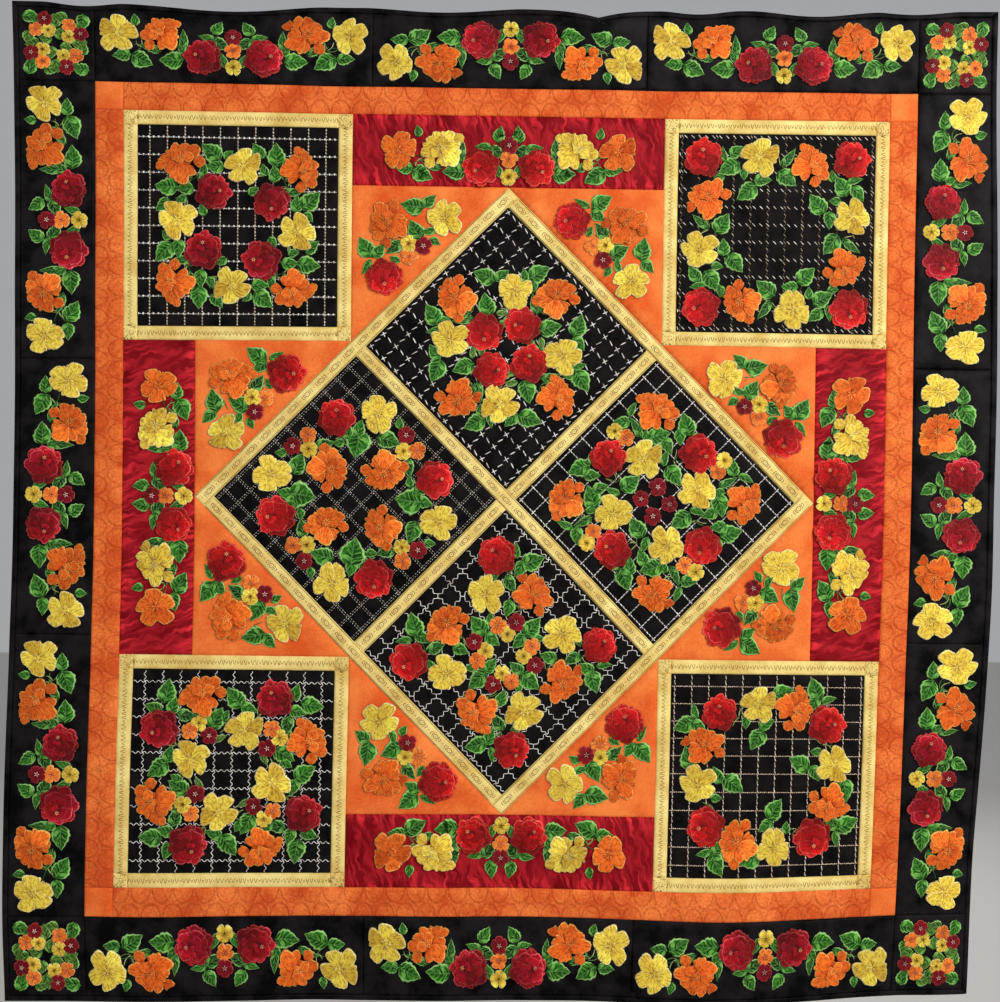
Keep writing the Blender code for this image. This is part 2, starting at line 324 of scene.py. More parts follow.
def addNode(tree, kind, inputs, **settings):
    # One node; an input is a value, or a socket to link
    made = tree.nodes.new(kind)
    for key, value in settings.items():
        setattr(made, key, value)
    for key, value in inputs.items():
        if isinstance(value, bpy.types.NodeSocket):
            tree.links.new(value, made.inputs[key])
        else:
            made.inputs[key].default_value = value
    return made


def fed(kind, inputs, output=0, **settings):
    # One output of a new node, in the tree of the sockets that feed it
    tree = next(value.id_data for value in inputs.values()
                if isinstance(value, bpy.types.NodeSocket))
    return addNode(tree, kind, inputs, **settings).outputs[output]


def sums(operation, *inputs):
    return fed("ShaderNodeMath", dict(enumerate(inputs)), operation=operation)


def times(first, second):
    return sums("MULTIPLY", first, second)


def plus(first, second):
    return sums("ADD", first, second)


def minus(first, second):
    return sums("SUBTRACT", first, second)


def noise(place, scale, detail=3):
    values = {"Vector": place, "Scale": scale, "Detail": detail, "Roughness": 0.55}
    return fed("ShaderNodeTexNoise", values, "Fac")


def ramp(value, low, high):
    # 0 at low, 1 at high, and even between them
    inputs = {"Value": value, "From Min": low, "From Max": high}
    return fed("ShaderNodeMapRange", inputs, "Result")


def flatPlace(x, y):
    return fed("ShaderNodeCombineXYZ", {"X": x, "Y": y})


def stretched(place, scale):
    return fed("ShaderNodeMapping", {"Vector": place, "Scale": scale})


def blend(share, first, second, how="MIX"):
    # A colour is a socket, or red, green and blue
    ends = [end if isinstance(end, bpy.types.NodeSocket) else (*end, 1) for end in (first, second)]
    return fed("ShaderNodeMix", {0: share, 6: ends[0], 7: ends[1]}, 2, data_type="RGBA",
               blend_type=how)


def tinted(colour, factor):
    return blend(1.0, colour, factor, "MULTIPLY")


def newLook(name):
    # A material, its shader, the place on the object and the place on the thread map
    surface = bpy.data.materials.new(name)
    surface.use_nodes = True
    tree = surface.node_tree
    place = addNode(tree, "ShaderNodeTexCoord", {}).outputs["Object"]
    along = addNode(tree, "ShaderNodeUVMap", {}, uv_map="threadMap").outputs["UV"]
    return surface, tree.nodes["Principled BSDF"], place, along


def ownTint(surface):
    tint = addNode(surface.node_tree, "ShaderNodeAttribute", {}, attribute_name="tint")
    return tint.outputs["Color"]


def finishLook(shader, colour, height, values):
    # Links the colour and the height in mm, and sets the rest on the shader's own sockets
    tree = shader.id_data
    tree.links.new(colour, shader.inputs["Base Color"])
    normal = fed("ShaderNodeBump", {"Height": height, "Strength": 1, "Distance": mm}, "Normal")
    tree.links.new(normal, shader.inputs["Normal"])
    for socket, value in values.items():
        shader.inputs[socket].default_value = value


def puckerHeight(p, q):
    # Gathers across a crimson strip: noise drawn out along q, which grows towards both seams. It is
    # their height, and also the share of pale crimson painted on them as painted highlight.
    middle, reach = (halfDiamond + halfPanel) / 2, strip / 2
    edge = sums("POWER", sums("DIVIDE", sums("ABSOLUTE", minus(q, middle)), reach), 2)
    scale, far = gathers["wander"]
    wander = times(noise(flatPlace(p, q), scale, 1), far)
    slanted = plus(plus(p, wander), times(q, gathers["slant"]))
    across, along = gathers["drawn"]
    drawn = flatPlace(times(slanted, across), times(q, along))
    ridge = ramp(noise(drawn, 1, 2), *gathers["range"])
    return times(ridge, plus(times(edge, 1 - gathers["middle"]), gathers["middle"]))


def shellLine(p, q):
    # Distance to two rows of half ellipses, one from each seam, half a pitch apart
    away = []
    for shift, start, sign in ((0, halfOrange, -1), (0.5, halfPanel, 1)):
        cell = sums("FRACT", plus(sums("DIVIDE", p, shells["pitch"]), shift))
        across = times(minus(cell, 0.5), shells["pitch"] / shells["halfWidth"])
        down = times(minus(q, start), sign / shells["reach"])
        radius = sums("SQRT", plus(times(across, across), times(down, down)))
        away.append(sums("ABSOLUTE", minus(radius, 1)))
    near = times(sums("MINIMUM", *away), shells["halfWidth"])
    return ramp(near, shells["line"], 0)


def speckShare(place, q):
    # Small brown specks, which thin out from the middle of an orange border to its seams
    middle, reach = (halfPanel + halfOrange) / 2, quilt["orange"] / 2
    off = sums("DIVIDE", minus(q, middle), reach)
    speck = ramp(noise(place, specks["scale"], 2), *specks["range"])
    return times(speck, times(minus(1, times(off, off)), specks["most"]))


def clothLook(name):
    # Woven cloth: two sets of threads across each other, cloudy colour, small wrinkles
    spec = finish[name]
    surface, shader, place, along = newLook(name)
    bands = {"Vector": along, "Scale": math.pi / 10 / spec["pitch"]}
    warp, weft = (fed("ShaderNodeTexWave", bands, "Fac", bands_direction=way) for way in "XY")
    weave = times(warp, weft)
    scale, weight = spec["flecks"]
    fleck = times(minus(noise(place, scale, 2), 0.5), 2 * weight)
    share = plus(ramp(noise(place, spec["clouds"], 6), *spec["range"]), fleck)
    share = minus(share, times(weave, weaveShade))
    crease = noise(place, spec["wrinkleScale"], 4)
    height = plus(times(weave, spec["weave"]), times(crease, spec["wrinkle"]))
    apart = fed("ShaderNodeSeparateXYZ", {"Vector": along}).node.outputs
    p, q = apart["X"], apart["Y"]
    if name == "crimson_satin":
        puckerAndHighlight = puckerHeight(p, q)
        height = plus(height, times(puckerAndHighlight, gathers["high"]))
        # Painted highlight and shade: the gathers' ridges are painted in the pale crimson and the
        # hollows between them in the deep crimson
        share = plus(times(share, gathers["cloudy"]), puckerAndHighlight)
    if name == "orange_border":
        groove = shellLine(p, q)
        height = plus(height, times(groove, shells["high"]))
        share = minus(share, times(groove, shells["dark"]))
    colour = blend(share, spec["deep"], spec["pale"])
    if name == "orange_border":
        colour = blend(speckShare(place, q), colour, specks["colour"])
    finishLook(shader, colour, height, {
        "Roughness": spec["rough"], "Sheen Weight": spec["sheen"], "Sheen Roughness": 0.45,
        "Specular IOR Level": spec["gloss"]})
    return surface


def threadLook():
    # Embroidery thread: the shape's own colours, mottled, streaked along the stitches and ridged
    surface, shader, place, along = newLook("thread")
    tint = ownTint(surface)
    bundle, strand, mottle = threads["bundle"], threads["strand"], threads["mottle"]
    bundles = ramp(noise(stretched(along, bundle["scale"]), 1, 2), *bundle["range"])
    strands = noise(stretched(along, strand["scale"]), 1, 2)
    mottled = ramp(noise(place, mottle["scale"], 2), *mottle["range"])
    share = plus(times(bundles, bundle["shade"]), times(strands, strand["shade"]))
    share = plus(share, times(mottled, mottle["shade"]))
    colour = blend(share, tinted(tint, threads["dark"]), tinted(tint, threads["light"]))
    height = plus(times(bundles, bundle["high"]), times(strands, strand["high"]))
    finishLook(shader, colour, height, {
        "Roughness": threads["rough"], "Specular IOR Level": threads["gloss"]})
    return surface


def leafLook():
    # The leaf's own colours with slanted stitches, which run along up - slant |across|: broad
    # dark ones between pale ones, and fine strands, with a pale midrib and rim
    surface, shader, place, local = newLook("leaf")
    tint = ownTint(surface)
    apart = fed("ShaderNodeSeparateXYZ", {"Vector": local}).node.outputs
    x, z = apart["X"], apart["Y"]
    across = sums("ABSOLUTE", x)
    slant = minus(z, times(across, leafThreads["slant"]))
    scale, far = leafThreads["wander"]
    rows = plus(slant, times(noise(place, scale, 2), far))
    broad, narrow = leafThreads["broad"], leafThreads["narrow"]
    vein = noise(flatPlace(times(x, broad[0]), times(rows, broad[1])), 1, 2)
    strand = noise(flatPlace(times(x, narrow[0]), times(slant, narrow[1])), 1, 2)
    factor, reach = leafThreads["dark"]
    colour = blend(ramp(vein, *reach), tint, tinted(tint, factor))
    for layer, value in (("pale", vein), ("midrib", across), ("rim", across)):
        own, reach, most = leafThreads[layer]
        colour = blend(times(ramp(value, *reach), most), colour, own)
    factor, reach = leafThreads["shadow"]
    colour = blend(ramp(strand, *reach), tinted(colour, factor), colour)
    height = minus(times(strand, leafThreads["high"]), times(vein, leafThreads["deep"]))
    finishLook(shader, colour, height, {
        "Roughness": threads["rough"], "Specular IOR Level": threads["gloss"]})
    return surface


looks = {name: clothLook(name) for name in finish}
looks["thread"] = threadLook()
looks["leaf"] = leafLook()


# Cloth

seam = {
    "drop": 0.0013,      # how far the front falls at a seam
    "lap": 0.00005,
    "edge": (0, 0.0012, 0.003),
    "backShare": 0.3,    # how much of the front's rise the back shows
}

# Slot, grid step along and up, rise, and the height and length of the wide and of the fine waves,
# in metres
clothKinds = {
    "black": {"slot": "black_satin", "step": (0.0075, 0.0075), "rise": 0.0006,
              "wide": (0.0009, 0.060), "fine": (0.0004, 0.024)},
    "ground": {"slot": "block_ground", "step": (0.009, 0.009), "rise": 0.0004,
               "wide": (0.0005, 0.050), "fine": (0.00025, 0.027)},
    "orange": {"slot": "orange_cotton", "step": (0.0065, 0.0065), "rise": 0.0006,
               "wide": (0.0004, 0.045), "fine": (0.00022, 0.020)},
    "crimson": {"slot": "crimson_satin", "step": (0.0028, 0.0075), "rise": 0.0009,
                "wide": (0.0005, 0.040), "fine": (0.0006, 0.010)},
    "yellow": {"slot": "yellow_cotton", "step": (0.0062, 0.0062), "rise": 0.0004,
               "wide": (0.0002, 0.040), "fine": (0.00014, 0.019)},
}
clothKinds["triangle"] = {**clothKinds["orange"], "step": (0.007, 0.007)}

# Puckers of the crimson strips, in metres: their spacing, their height, and how they wander
puckers = {"wave": 0.0105, "high": 0.0008, "middle": 0.35, "stretch": 0.12,
           "bend": (0.006, 0.05)}


def ripples(p, q, wave, seed):
    # Sum of seven seeded sine waves, whose lengths lie between 0.7 and 1.6 times wave
    pick = np.random.default_rng(seed)
    total = np.zeros_like(p)
    for turn, start, longer in pick.uniform((0, 0, 0.7), (math.pi, 2 * math.pi, 1.6), (7, 3)):
        run = (p * math.cos(turn) + q * math.sin(turn)) * 2 * math.pi / (wave * longer)
        total += np.sin(run + start)
    return total / 4


def clothHeight(kind, p, q, seed):
    # Rise plus wide waves plus fine waves. Crimson satin also gathers across its length: waves
    # along p, which grow towards both long seams.
    spec = clothKinds[kind]
    puckered = 0
    if kind == "crimson":
        across = (q - halfDiamond) / (halfPanel - halfDiamond) * 2 - 1
        edge = puckers["middle"] + (1 - puckers["middle"]) * across * across
        reach, wave = puckers["bend"]
        bent = p + reach * ripples(p, q, wave, seed + 2)
        waves = ripples(bent, puckers["stretch"] * q, puckers["wave"], seed)
        puckered = puckers["high"] * edge * waves
        seed += 4
    (wideHigh, wideWave), (fineHigh, fineWave) = spec["wide"], spec["fine"]
    wide = wideHigh * ripples(p, q, wideWave, seed)
    return spec["rise"] + wide + fineHigh * ripples(p, q, fineWave, seed + 1) + puckered


def turnAbout(p, q, angle):
    # Turn about the middle of the square, anticlockwise from the front
    return p * math.cos(angle) - q * math.sin(angle), p * math.sin(angle) + q * math.cos(angle)


def slab(kind, sides, angle, seed, slanted=False):
    # Closed piece of cloth between sides (left, low, right, high), turned about the middle of
    # the square. Its front stands half the thickness plus the cloth's own height forward, and
    # falls in a quarter circle towards each seam. A slanted piece is the half towards left and low.
    left, low, right, high = sides
    step, lap, thick = clothKinds[kind]["step"], seam["lap"], quilt["thick"]
    along = left - lap + marks(right - left + 2 * lap, step[0], seam["edge"])
    up = low - lap + marks(high - low + 2 * lap, step[1], seam["edge"])
    p, q = np.meshgrid(along, up, indexing="ij")
    near = np.minimum(np.minimum(p - left, right - p), np.minimum(q - low, high - q))
    inside, keep = np.ones(p.shape, bool), None
    if slanted:
        near = np.minimum(near, (right - p + low - q) / root2)
        i, j = np.indices(p.shape)
        last = len(along) - 1
        inside = i + j <= last
        keep = (last - 1 - i - j)[:-1, :-1]
    index = np.cumsum(inside.ravel()).reshape(p.shape) - 1
    p, q, near = p[inside], q[inside], near[inside]
    faces = slabFaces(index, keep)
    rise = clothHeight(kind, p, q, seed)
    share = np.clip(near / seam["edge"][-1], 0, 1)
    front = thick / 2 + rise * share - seam["drop"] * (1 - np.sqrt(share * (2 - share)))
    back = -thick / 2 - seam["backShare"] * rise * share
    x, z = turnAbout(p, q, angle)
    return {"points": np.concatenate([hang(x, z, front), hang(x, z, back)]), "faces": faces,
            "uv": np.tile(np.column_stack([p, q]), (2, 1)),
            "side": np.repeat([0, 0, 0, 1, 1], [len(part) for part in faces])}


def joined(parts):
    # Several shells or drawn shapes as one set of arrays
    faces = []
    start = 0
    for part in parts:
        faces += [rows + start for rows in part["faces"]]
        start += len(part["uv"])
    whole = {key: np.concatenate([part[key] for part in parts]) for key in parts[0]
             if key != "faces"}
    return {**whole, "faces": faces}


clothShape = {}


def layCloth(node, kind, parts, angle=0, seed=0, look=None):
    # Its kind, turn and seed are kept for the stitches on it.
    clothShape[node] = (kind, angle, seed)
    slot = clothKinds[kind]["slot"]
    whole = joined(parts)
    piece = buildPiece(node + "_cloth", whole["points"], whole["faces"],
                       [looks[look or slot], looks["backing"]], uv=whole["uv"],
                       faceSurface=whole["side"])
    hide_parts(node)


sideNames = ("top", "left", "bottom", "right")
cornerNames = ("top_left", "bottom_left", "bottom_right", "top_right")
quarter = math.pi / 2
rounding = {"along": 205, "around": 16, "power": 0.6, "mapStep": 0.0018}


def bindingPart(angle):
    # Rounded strip round the edge with mitred ends: p = t q along it, and a section that is a
    # circle squared off by a power
    steps, power = rounding["around"], rounding["power"]
    t, phi = np.meshgrid(np.linspace(-1, 1, rounding["along"]),
                         np.arange(steps) * math.pi / (steps / 2), indexing="ij")
    bulge = np.abs(np.cos(phi)) ** power * np.sign(np.cos(phi))
    height = np.abs(np.sin(phi)) ** power * np.sign(np.sin(phi)) * quilt["bindingThick"] / 2
    q = halfBlack + quilt["binding"] / 2 * (1 + bulge)
    p = t * q
    index = np.arange(t.size).reshape(t.shape)
    after = np.roll(index, -1, axis=1)
    quads = np.stack([index[:-1], after[:-1], after[1:], index[1:]], -1).reshape(-1, 4)
    x, z = turnAbout(p.ravel(), q.ravel(), angle)
    return {"points": hang(x, z, height.ravel()), "faces": [quads, index[:1, ::-1], index[-1:]],
            "uv": np.column_stack([p.ravel(), (phi * rounding["mapStep"]).ravel()]),
            "side": np.zeros(len(quads) + 2, int)}


def layPiece(node, kind, sides, angle, seed, look=None):
    # One cut piece of cloth between sides (left, low, right, high), turned by angle
    slanted = kind == "triangle"
    layCloth(node, kind, [slab(kind, sides, angle, seed, slanted)], angle, seed, look)


def layBorders(turn):
    # One side of the binding and of both borders, with a corner square of each
    angle = turn * quarter
    side, corner = sideNames[turn], cornerNames[turn]
    layCloth(f"binding_{side}", "black", [bindingPart(angle)])
    for i in range(quilt["panels"]):
        left = -halfOrange + 2 * i * panelSeam
        layPiece(f"border_{side}_{i + 1}", "black",
                 (left, halfOrange, left + 2 * panelSeam, halfBlack), angle, 10 + turn)
    layPiece(f"border_corner_{corner}", "black", (-halfBlack, halfOrange, -halfOrange, halfBlack),
             angle, 14 + turn)
    layPiece(f"orange_{side}", "orange", (-halfPanel, halfPanel, halfPanel, halfOrange), angle,
             20 + turn, "orange_border")
    layPiece(f"orange_corner_{corner}", "orange", (-halfOrange, halfPanel, -halfPanel, halfOrange),
             angle, 24 + turn)


def laySides(turn):
    # The crimson strip, its two orange triangles and the corner block of one side
    angle = turn * quarter
    side, corner = sideNames[turn], cornerNames[turn]
    layPiece(f"crimson_{side}", "crimson", (-halfOpen, halfDiamond, halfOpen, halfPanel), angle,
             30 + turn)
    layPiece(f"triangle_{side}_1", "triangle",
             (-halfDiamond, -halfOpen, halfOpen - halfDiamond, 0), angle - quarter, 40 + turn)
    layPiece(f"triangle_{side}_2", "triangle",
             (-halfOpen, -halfDiamond, 0, halfOpen - halfDiamond), angle + 2 * quarter, 44 + turn)
    sash = quilt["sash"]
    left, low, right, high = -halfPanel + sash, halfOpen + sash, -halfOpen - sash, halfPanel - sash
    layPiece(f"block_{corner}_ground", "ground", (left, low, right, high), angle, 50 + turn)
    outLeft, outLow, outRight, outHigh = left - sash, low - sash, right + sash, high + sash
    frameSides = ((left, high, right, outHigh), (left, outLow, right, low),
                  (outLeft, low, left, high), (right, low, outRight, high),
                  (outLeft, high, left, outHigh), (right, high, outRight, outHigh),
                  (outLeft, outLow, left, low), (right, outLow, outRight, low))
    layCloth(f"block_{corner}_frame", "yellow",
             [slab("yellow", sides, angle, 54 + turn) for sides in frameSides],
             angle, 54 + turn)


outer = diamondSide
inner = outer - quilt["sash"]
arm = quilt["sash"] / 2
eighth = quarter / 2
diamondSashes = {
    # sides before the eighth turn clockwise
    "upper_left": (-outer, -outer, -inner, outer),
    "lower_right": (inner, -outer, outer, outer),
    "upper_right": (-inner, inner, inner, outer),
    "lower_left": (-inner, -outer, inner, -inner),
    "cross_long": (-inner, -arm, inner, arm),
    "cross_upper": (-arm, arm, arm, inner),
    "cross_lower": (-arm, -inner, arm, -arm),
}
diamondBlocks = {
    "top": (-inner, arm, -arm, inner),
    "right": (arm, arm, inner, inner),
    "bottom": (arm, -inner, inner, -arm),
    "left": (-inner, -inner, -arm, -arm),
}

for turn in range(4):
    layBorders(turn)
    laySides(turn)
for name, sides in diamondSashes.items():
    layPiece(f"sash_{name}", "yellow", sides, -eighth, 60)
for name, sides in diamondBlocks.items():
    layPiece(f"diamond_{name}", "ground", sides, -eighth, 62)
print("cloth laid")


# Embroidery: closed pads and threads, drawn flat as x, z and height above the cloth

threadColours = {
    # near the heart, the body, the outer rim, and the line where a petal lies on the next
    "yellow": (shade(206, 162, 38), shade(244, 224, 86), shade(255, 246, 172), shade(160, 110, 20)),
    "orange": (shade(202, 64, 12), shade(243, 122, 40), shade(248, 190, 102), shade(162, 40, 6)),
    "amber": (shade(206, 84, 22), shade(250, 142, 58), shade(255, 206, 132), shade(170, 62, 10)),
    "red": (shade(108, 0, 10), shade(224, 22, 26), shade(240, 96, 86), shade(64, 0, 6)),
    "wine": (shade(80, 0, 14), shade(186, 16, 34), shade(222, 90, 96), shade(46, 0, 8)),
    "maroon": (shade(70, 0, 12), shade(132, 16, 30), shade(196, 84, 80), shade(38, 0, 8)),
    "green": (shade(14, 72, 16), shade(64, 144, 34), shade(206, 246, 172), shade(20, 60, 16)),
    "dark": (shade(12, 64, 22), shade(44, 114, 36), shade(170, 222, 140), shade(12, 44, 12)),
    "lime": (shade(52, 86, 20), shade(104, 146, 46), shade(226, 240, 150), shade(40, 60, 16)),
    "olive": (shade(82, 104, 44), shade(124, 152, 70), shade(214, 230, 166), shade(50, 62, 24)),
}

petals = {
    # length, width, turn, and the foot's place across and up, in mm and degrees, the lowest first
    "five": ((22.5, 22, 0, 0, 0), (22, 21.5, 144, 0, 0), (23.5, 22, 288, 0, 0),
             (22, 22.5, 72, 0, 0), (23, 21.5, 216, 0, 0), (10, 11, 20, 1.5, -5)),
    "rose": ((23.5, 22, 0, 0, 0), (22.5, 21, 52, 0, 0), (24, 23, 103, 0, 0),
             (22.5, 21, 154, 0, 0), (23.5, 22, 206, 0, 0), (23, 21, 257, 0, 0),
             (23.5, 22, 309, 0, 0), (18.5, 22, 28, -1, 1), (19.5, 23, 100, 1, 0),
             (18, 22, 172, 1, 2), (19, 23, 244, -1, 1), (18, 21, 316, 1, 1),
             (13.5, 19, 70, 0, 4), (14.5, 20, 185, 1, 5), (13, 18, 300, -1, 4),
             (8.5, 13, 10, 1, 5), (8, 12, 140, 0, 7)),
    "bloom": ((29, 27, 0, 0, -14), (20, 19, 70, -5, 1), (14, 14, 100, -16.5, -3),
              (18, 18, 35, -2, 3.5), (15.5, 16, -5, 0, 5), (21, 19, -55, 3, 3),
              (15, 15, -95, 12.5, 0), (15.5, 16, 215, 3, -4), (17.5, 16, 125, -4, -2),
              (24.5, 25, 174, 0, -1), (14, 15, 40, -1, 0), (13, 15, 290, 1, 1),
              (10.5, 12, 165, 0, 6.5)),
    "small": ((10.5, 11, 0, 0, 0), (10.5, 11, 144, 0, 0), (10.5, 11, 288, 0, 0),
              (10.5, 11, 72, 0, 0), (10.5, 11, 216, 0, 0)),
}

flowerKinds = {
    # radius in mm, rounded lobes on a petal and how deep they are, how far the dark heart
    # reaches, how much higher each petal lies in metres, the range of their tones, how bright the
    # inner edges are at most, how wide a petal is at its foot, how blunt its tip is (less is
    # blunter), and which petal is the bright one in front
    "five": {"radius": 23, "lobes": 3, "ragged": 0.24, "shadow": -0.02, "step": 0.00022,
             "tones": (0.76, 1.14), "bright": 0.6, "waist": 0.52, "blunt": 0.62},
    "rose": {"radius": 24.5, "lobes": 6, "ragged": 0.2, "shadow": 0.25, "step": 0.00018,
             "tones": (0.55, 1.3), "bright": 0.5, "waist": 0.5, "blunt": 0.7},
    "bloom": {"radius": 27, "lobes": 4, "ragged": 0.28, "shadow": 0.06, "step": 0.00018,
              "tones": (0.68, 1.08), "bright": 0.8, "waist": 0.6, "blunt": 0.75, "front": 9},
    "small": {"radius": 10.5, "lobes": 2, "ragged": 0.14, "shadow": 0.1, "step": 0.00015,
              "tones": (0.8, 1.04), "bright": 0.9, "waist": 0.45, "blunt": 0.7},
}

# How every petal is drawn: its points at least and for each mm of width, where its foot and its
# middle lie, as shares of its length, how much its points crowd at the foot, how wide it spreads,
# how far its lobes shift, how round they are and where they start to draw it in, how uneven it
# is, and its rings, as shares of the way from its middle to its rim
petalShape = {"points": (10, 0.85), "foot": 0.06, "middle": 0.55, "crowd": 0.3, "spread": 1.25,
              "lobeShift": 0.8, "lobePower": 1.2, "lobeMiddle": 0.6, "uneven": 0.05,
              "rings": (0.82, 0.93, 1)}

# Where its colours start and over what share they change: the body's outwards, the pale rim's and
# the dark line's towards the outline, and the place in the flower where the rim takes over from
# the line. depth is the most that a petal is darkened, and tones scale red, green and blue.
petalPaint = {"body": 0.38, "rim": (0.82, 0.11), "line": (0.93, 0.07), "outer": (0.55, 0.2),
              "depth": 0.5, "tones": (1, 1.5, 2)}

# In metres: how high the pads of petals above and below a width in mm stand, what share of it they
# fall towards the rim, how far they reach down, and how much further in the middle, where the
# lowest petal starts, how far the heart's stitches stand above the top one, and their height
petalPad = {"wide": 0.0011, "narrow": 0.0008, "width": 12, "fall": 0.25, "down": 0.0007,
            "under": 0.0003, "start": 0.0006, "heart": 0.0001, "stitch": 0.0004}

# How the shapes vary: turns in degrees, sizes, tones, and how much brighter the front petal is. A
# rose is darker below: its tone in the middle, what a metre up adds, and the least and the most.
variety = {"petalTurn": 7, "turn": 4, "sizes": (0.96, 1.05), "tones": (0.86, 1.1), "front": 1.2,
           "rose": (0.85, 20, 0.45, 1.25)}

leafSizes = {
    # length, width in mm and colours
    "big": (29, 23, "green"), "medium": (22, 16, "green"), "little": (15, 11, "green"),
    "narrow": (27, 11, "dark"), "curled": (24, 16, "dark"), "pale": (17, 8, "olive"),
    "heart": (34, 33, "green"), "slim": (21, 10, "green"), "light": (18, 15, "lime"),
}

# How every leaf is drawn: its points along and across, where its outline starts and how far it
# runs, how low its widest place lies, how full and how pointed it is, its teeth, its least width
# and what a tooth adds, how much it bends and how far its sides sweep up, as shares of its length.
# Then its height in metres at the rim, the rise to the midrib, what of that the sides lose, and
# how steeply it rises from both ends.
leafShape = {
    "along": 20, "across": (-1, -0.8, 0, 0.8, 1), "run": (0.015, 0.98), "low": 0.66, "full": 0.9,
    "point": 0.35, "teeth": 4.5, "toothPower": 0.6, "width": (0.9, 0.17), "bend": 0.07,
    "sweep": (0.05, 0.03), "rim": 0.0005, "rise": 0.0005, "arch": 0.0002, "steep": 14,
}

# Its shades: the mean, the gap between its halves and a slow wave, how much of the body's colour
# lies on the midrib, and a curled leaf's hollow, with its half length and its depth
leafPaint = {"mean": 0.86, "halves": 0.18, "wave": 0.1, "least": 0.3, "hollow": (0.28, 0.85)}

# Curls of a tendril: the degrees between them, how far they turn and bend off, their lengths and
# width in mm, and how high they stand and start in metres
tendrilShape = {"apart": 30, "turn": 8, "bend": 1.2, "lengths": (11, 17), "width": 1.1,
                "height": 0.0005, "start": 0.0002}


def pad(outline, heart, levels, heights, paint, axis):
    # Rings at shares of the way from the heart to the outline, a fan over the heart and one
    # below it. paint gives the colour from place and share; threads run along axis.
    count = len(outline)
    shares = np.concatenate([[0], np.repeat(levels, count), [1]])
    rings = heart + np.array(levels)[:, None, None] * (outline - heart)
    place = np.concatenate([[heart], rings.reshape(-1, 2), [heart]])
    lowest = heights[-1] - petalPad["under"]
    height = np.concatenate([heights[:1], np.repeat(heights[1:], count), [lowest]])
    ring = np.arange(count) + 1
    after = np.roll(ring, -1)
    faces = [np.stack([np.zeros(count, int), ring, after], -1)]
    for k in range(len(levels) - 1):
        low = k * count
        faces.append(np.stack([ring + low, ring + low + count, after + low + count,
                               after + low], -1))
    low = (len(levels) - 1) * count
    under = np.full(count, len(place) - 1)
    faces.append(np.stack([under, after + low, ring + low], -1))
    along = place @ axis
    across = place @ np.array([-axis[1], axis[0]])
    return {"flat": np.column_stack([place, height]), "faces": faces,
            "uv": np.column_stack([along, across]), "tint": paint(place, shares)}


def risen(values, start, run):
    # Column of shares: 0 up to start, and 1 from one run past it
    return np.clip((values - start) / run, 0, 1)[:, None]


def petal(size, kind, colours, seed, base):
    # Outline in t, with u = (1 - cos t) / 2: outwards length (foot + (1 - foot) u), and across
    # width / 2 times sin t to the blunt times waist + (spread - waist) u. Both are drawn in, more
    # and more outwards, between rounded lobes: |cos| to the lobePower of lobes times half of t
    # from the tip.
    length, width, turn, footX, footZ = size
    spec = flowerKinds[kind]
    pick = np.random.default_rng(seed)
    form, shades, levels = petalShape, petalPaint, petalShape["rings"]
    least, more = form["points"]
    count = max(least, round(more * width))
    t = (np.arange(count) + 0.5) * 2 * math.pi / count
    t = t + form["crowd"] * np.sin(t)
    u = (1 - np.cos(t)) / 2
    shift = pick.uniform(-form["lobeShift"], form["lobeShift"])
    lobe = np.abs(np.cos(spec["lobes"] / 2 * (t - math.pi) + shift))
    lobe = lobe ** form["lobePower"] - form["lobeMiddle"]
    wave = form["uneven"] * u * np.sin(2 * t + pick.uniform(0, 6))
    edge = 1 + spec["ragged"] * u * lobe + wave
    waist = spec["waist"] + (form["spread"] - spec["waist"]) * u
    x = width / 2 * np.sign(np.sin(t)) * np.abs(np.sin(t)) ** spec["blunt"] * waist * edge
    z = length * (form["foot"] + (1 - form["foot"]) * u * edge)
    spin = math.radians(turn)
    axis = np.array([-math.sin(spin), math.cos(spin)])
    foot = np.array([footX, footZ]) * mm
    outline = np.column_stack(turnAbout(x * mm, z * mm, spin))
    heart = axis * length * form["middle"] * mm
    tone = pick.uniform(*spec["tones"]) ** np.array(shades["tones"])
    depth = pick.uniform(0, shades["depth"])
    glare = spec["bright"] * pick.uniform()

    def paint(place, shares):
        # Dark near the flower's middle, a pale rim, and inside the flower a dark line round it
        far = np.hypot(place[:, 0], place[:, 1]) / (length * mm)
        glow = risen(far, spec["shadow"], shades["body"]) * (1 - depth)
        out = np.hypot(*(place + foot).T) / (spec["radius"] * mm)
        out = risen(out, *shades["outer"])
        body = colours[0] * (1 - glow) + colours[1] * glow
        rim = risen(shares, *shades["rim"]) * np.maximum(out, glare)
        line = risen(shares, *shades["line"]) * (1 - out)
        body = body * (1 - rim) + colours[2] * rim
        return (body * (1 - line) + colours[3] * line) * tone

    height = petalPad["wide" if width > petalPad["width"] else "narrow"]
    top = base + height
    heights = [top] + [top - petalPad["fall"] * height * level ** 3 for level in levels[:-1]]
    part = pad(outline, heart, levels, heights + [base - petalPad["down"]], paint, axis)
    part["flat"][:, :2] += foot
    return part


def alongPath(path, width):
    # Half the width to the left of each point of a path, and the way run up to it
    ahead = np.gradient(path, axis=0)
    ahead /= np.linalg.norm(ahead, axis=1)[:, None]
    run = np.concatenate([[0], np.cumsum(np.linalg.norm(np.diff(path, axis=0), axis=1))])
    return np.column_stack([-ahead[:, 1], ahead[:, 0]]) * width / 2, run


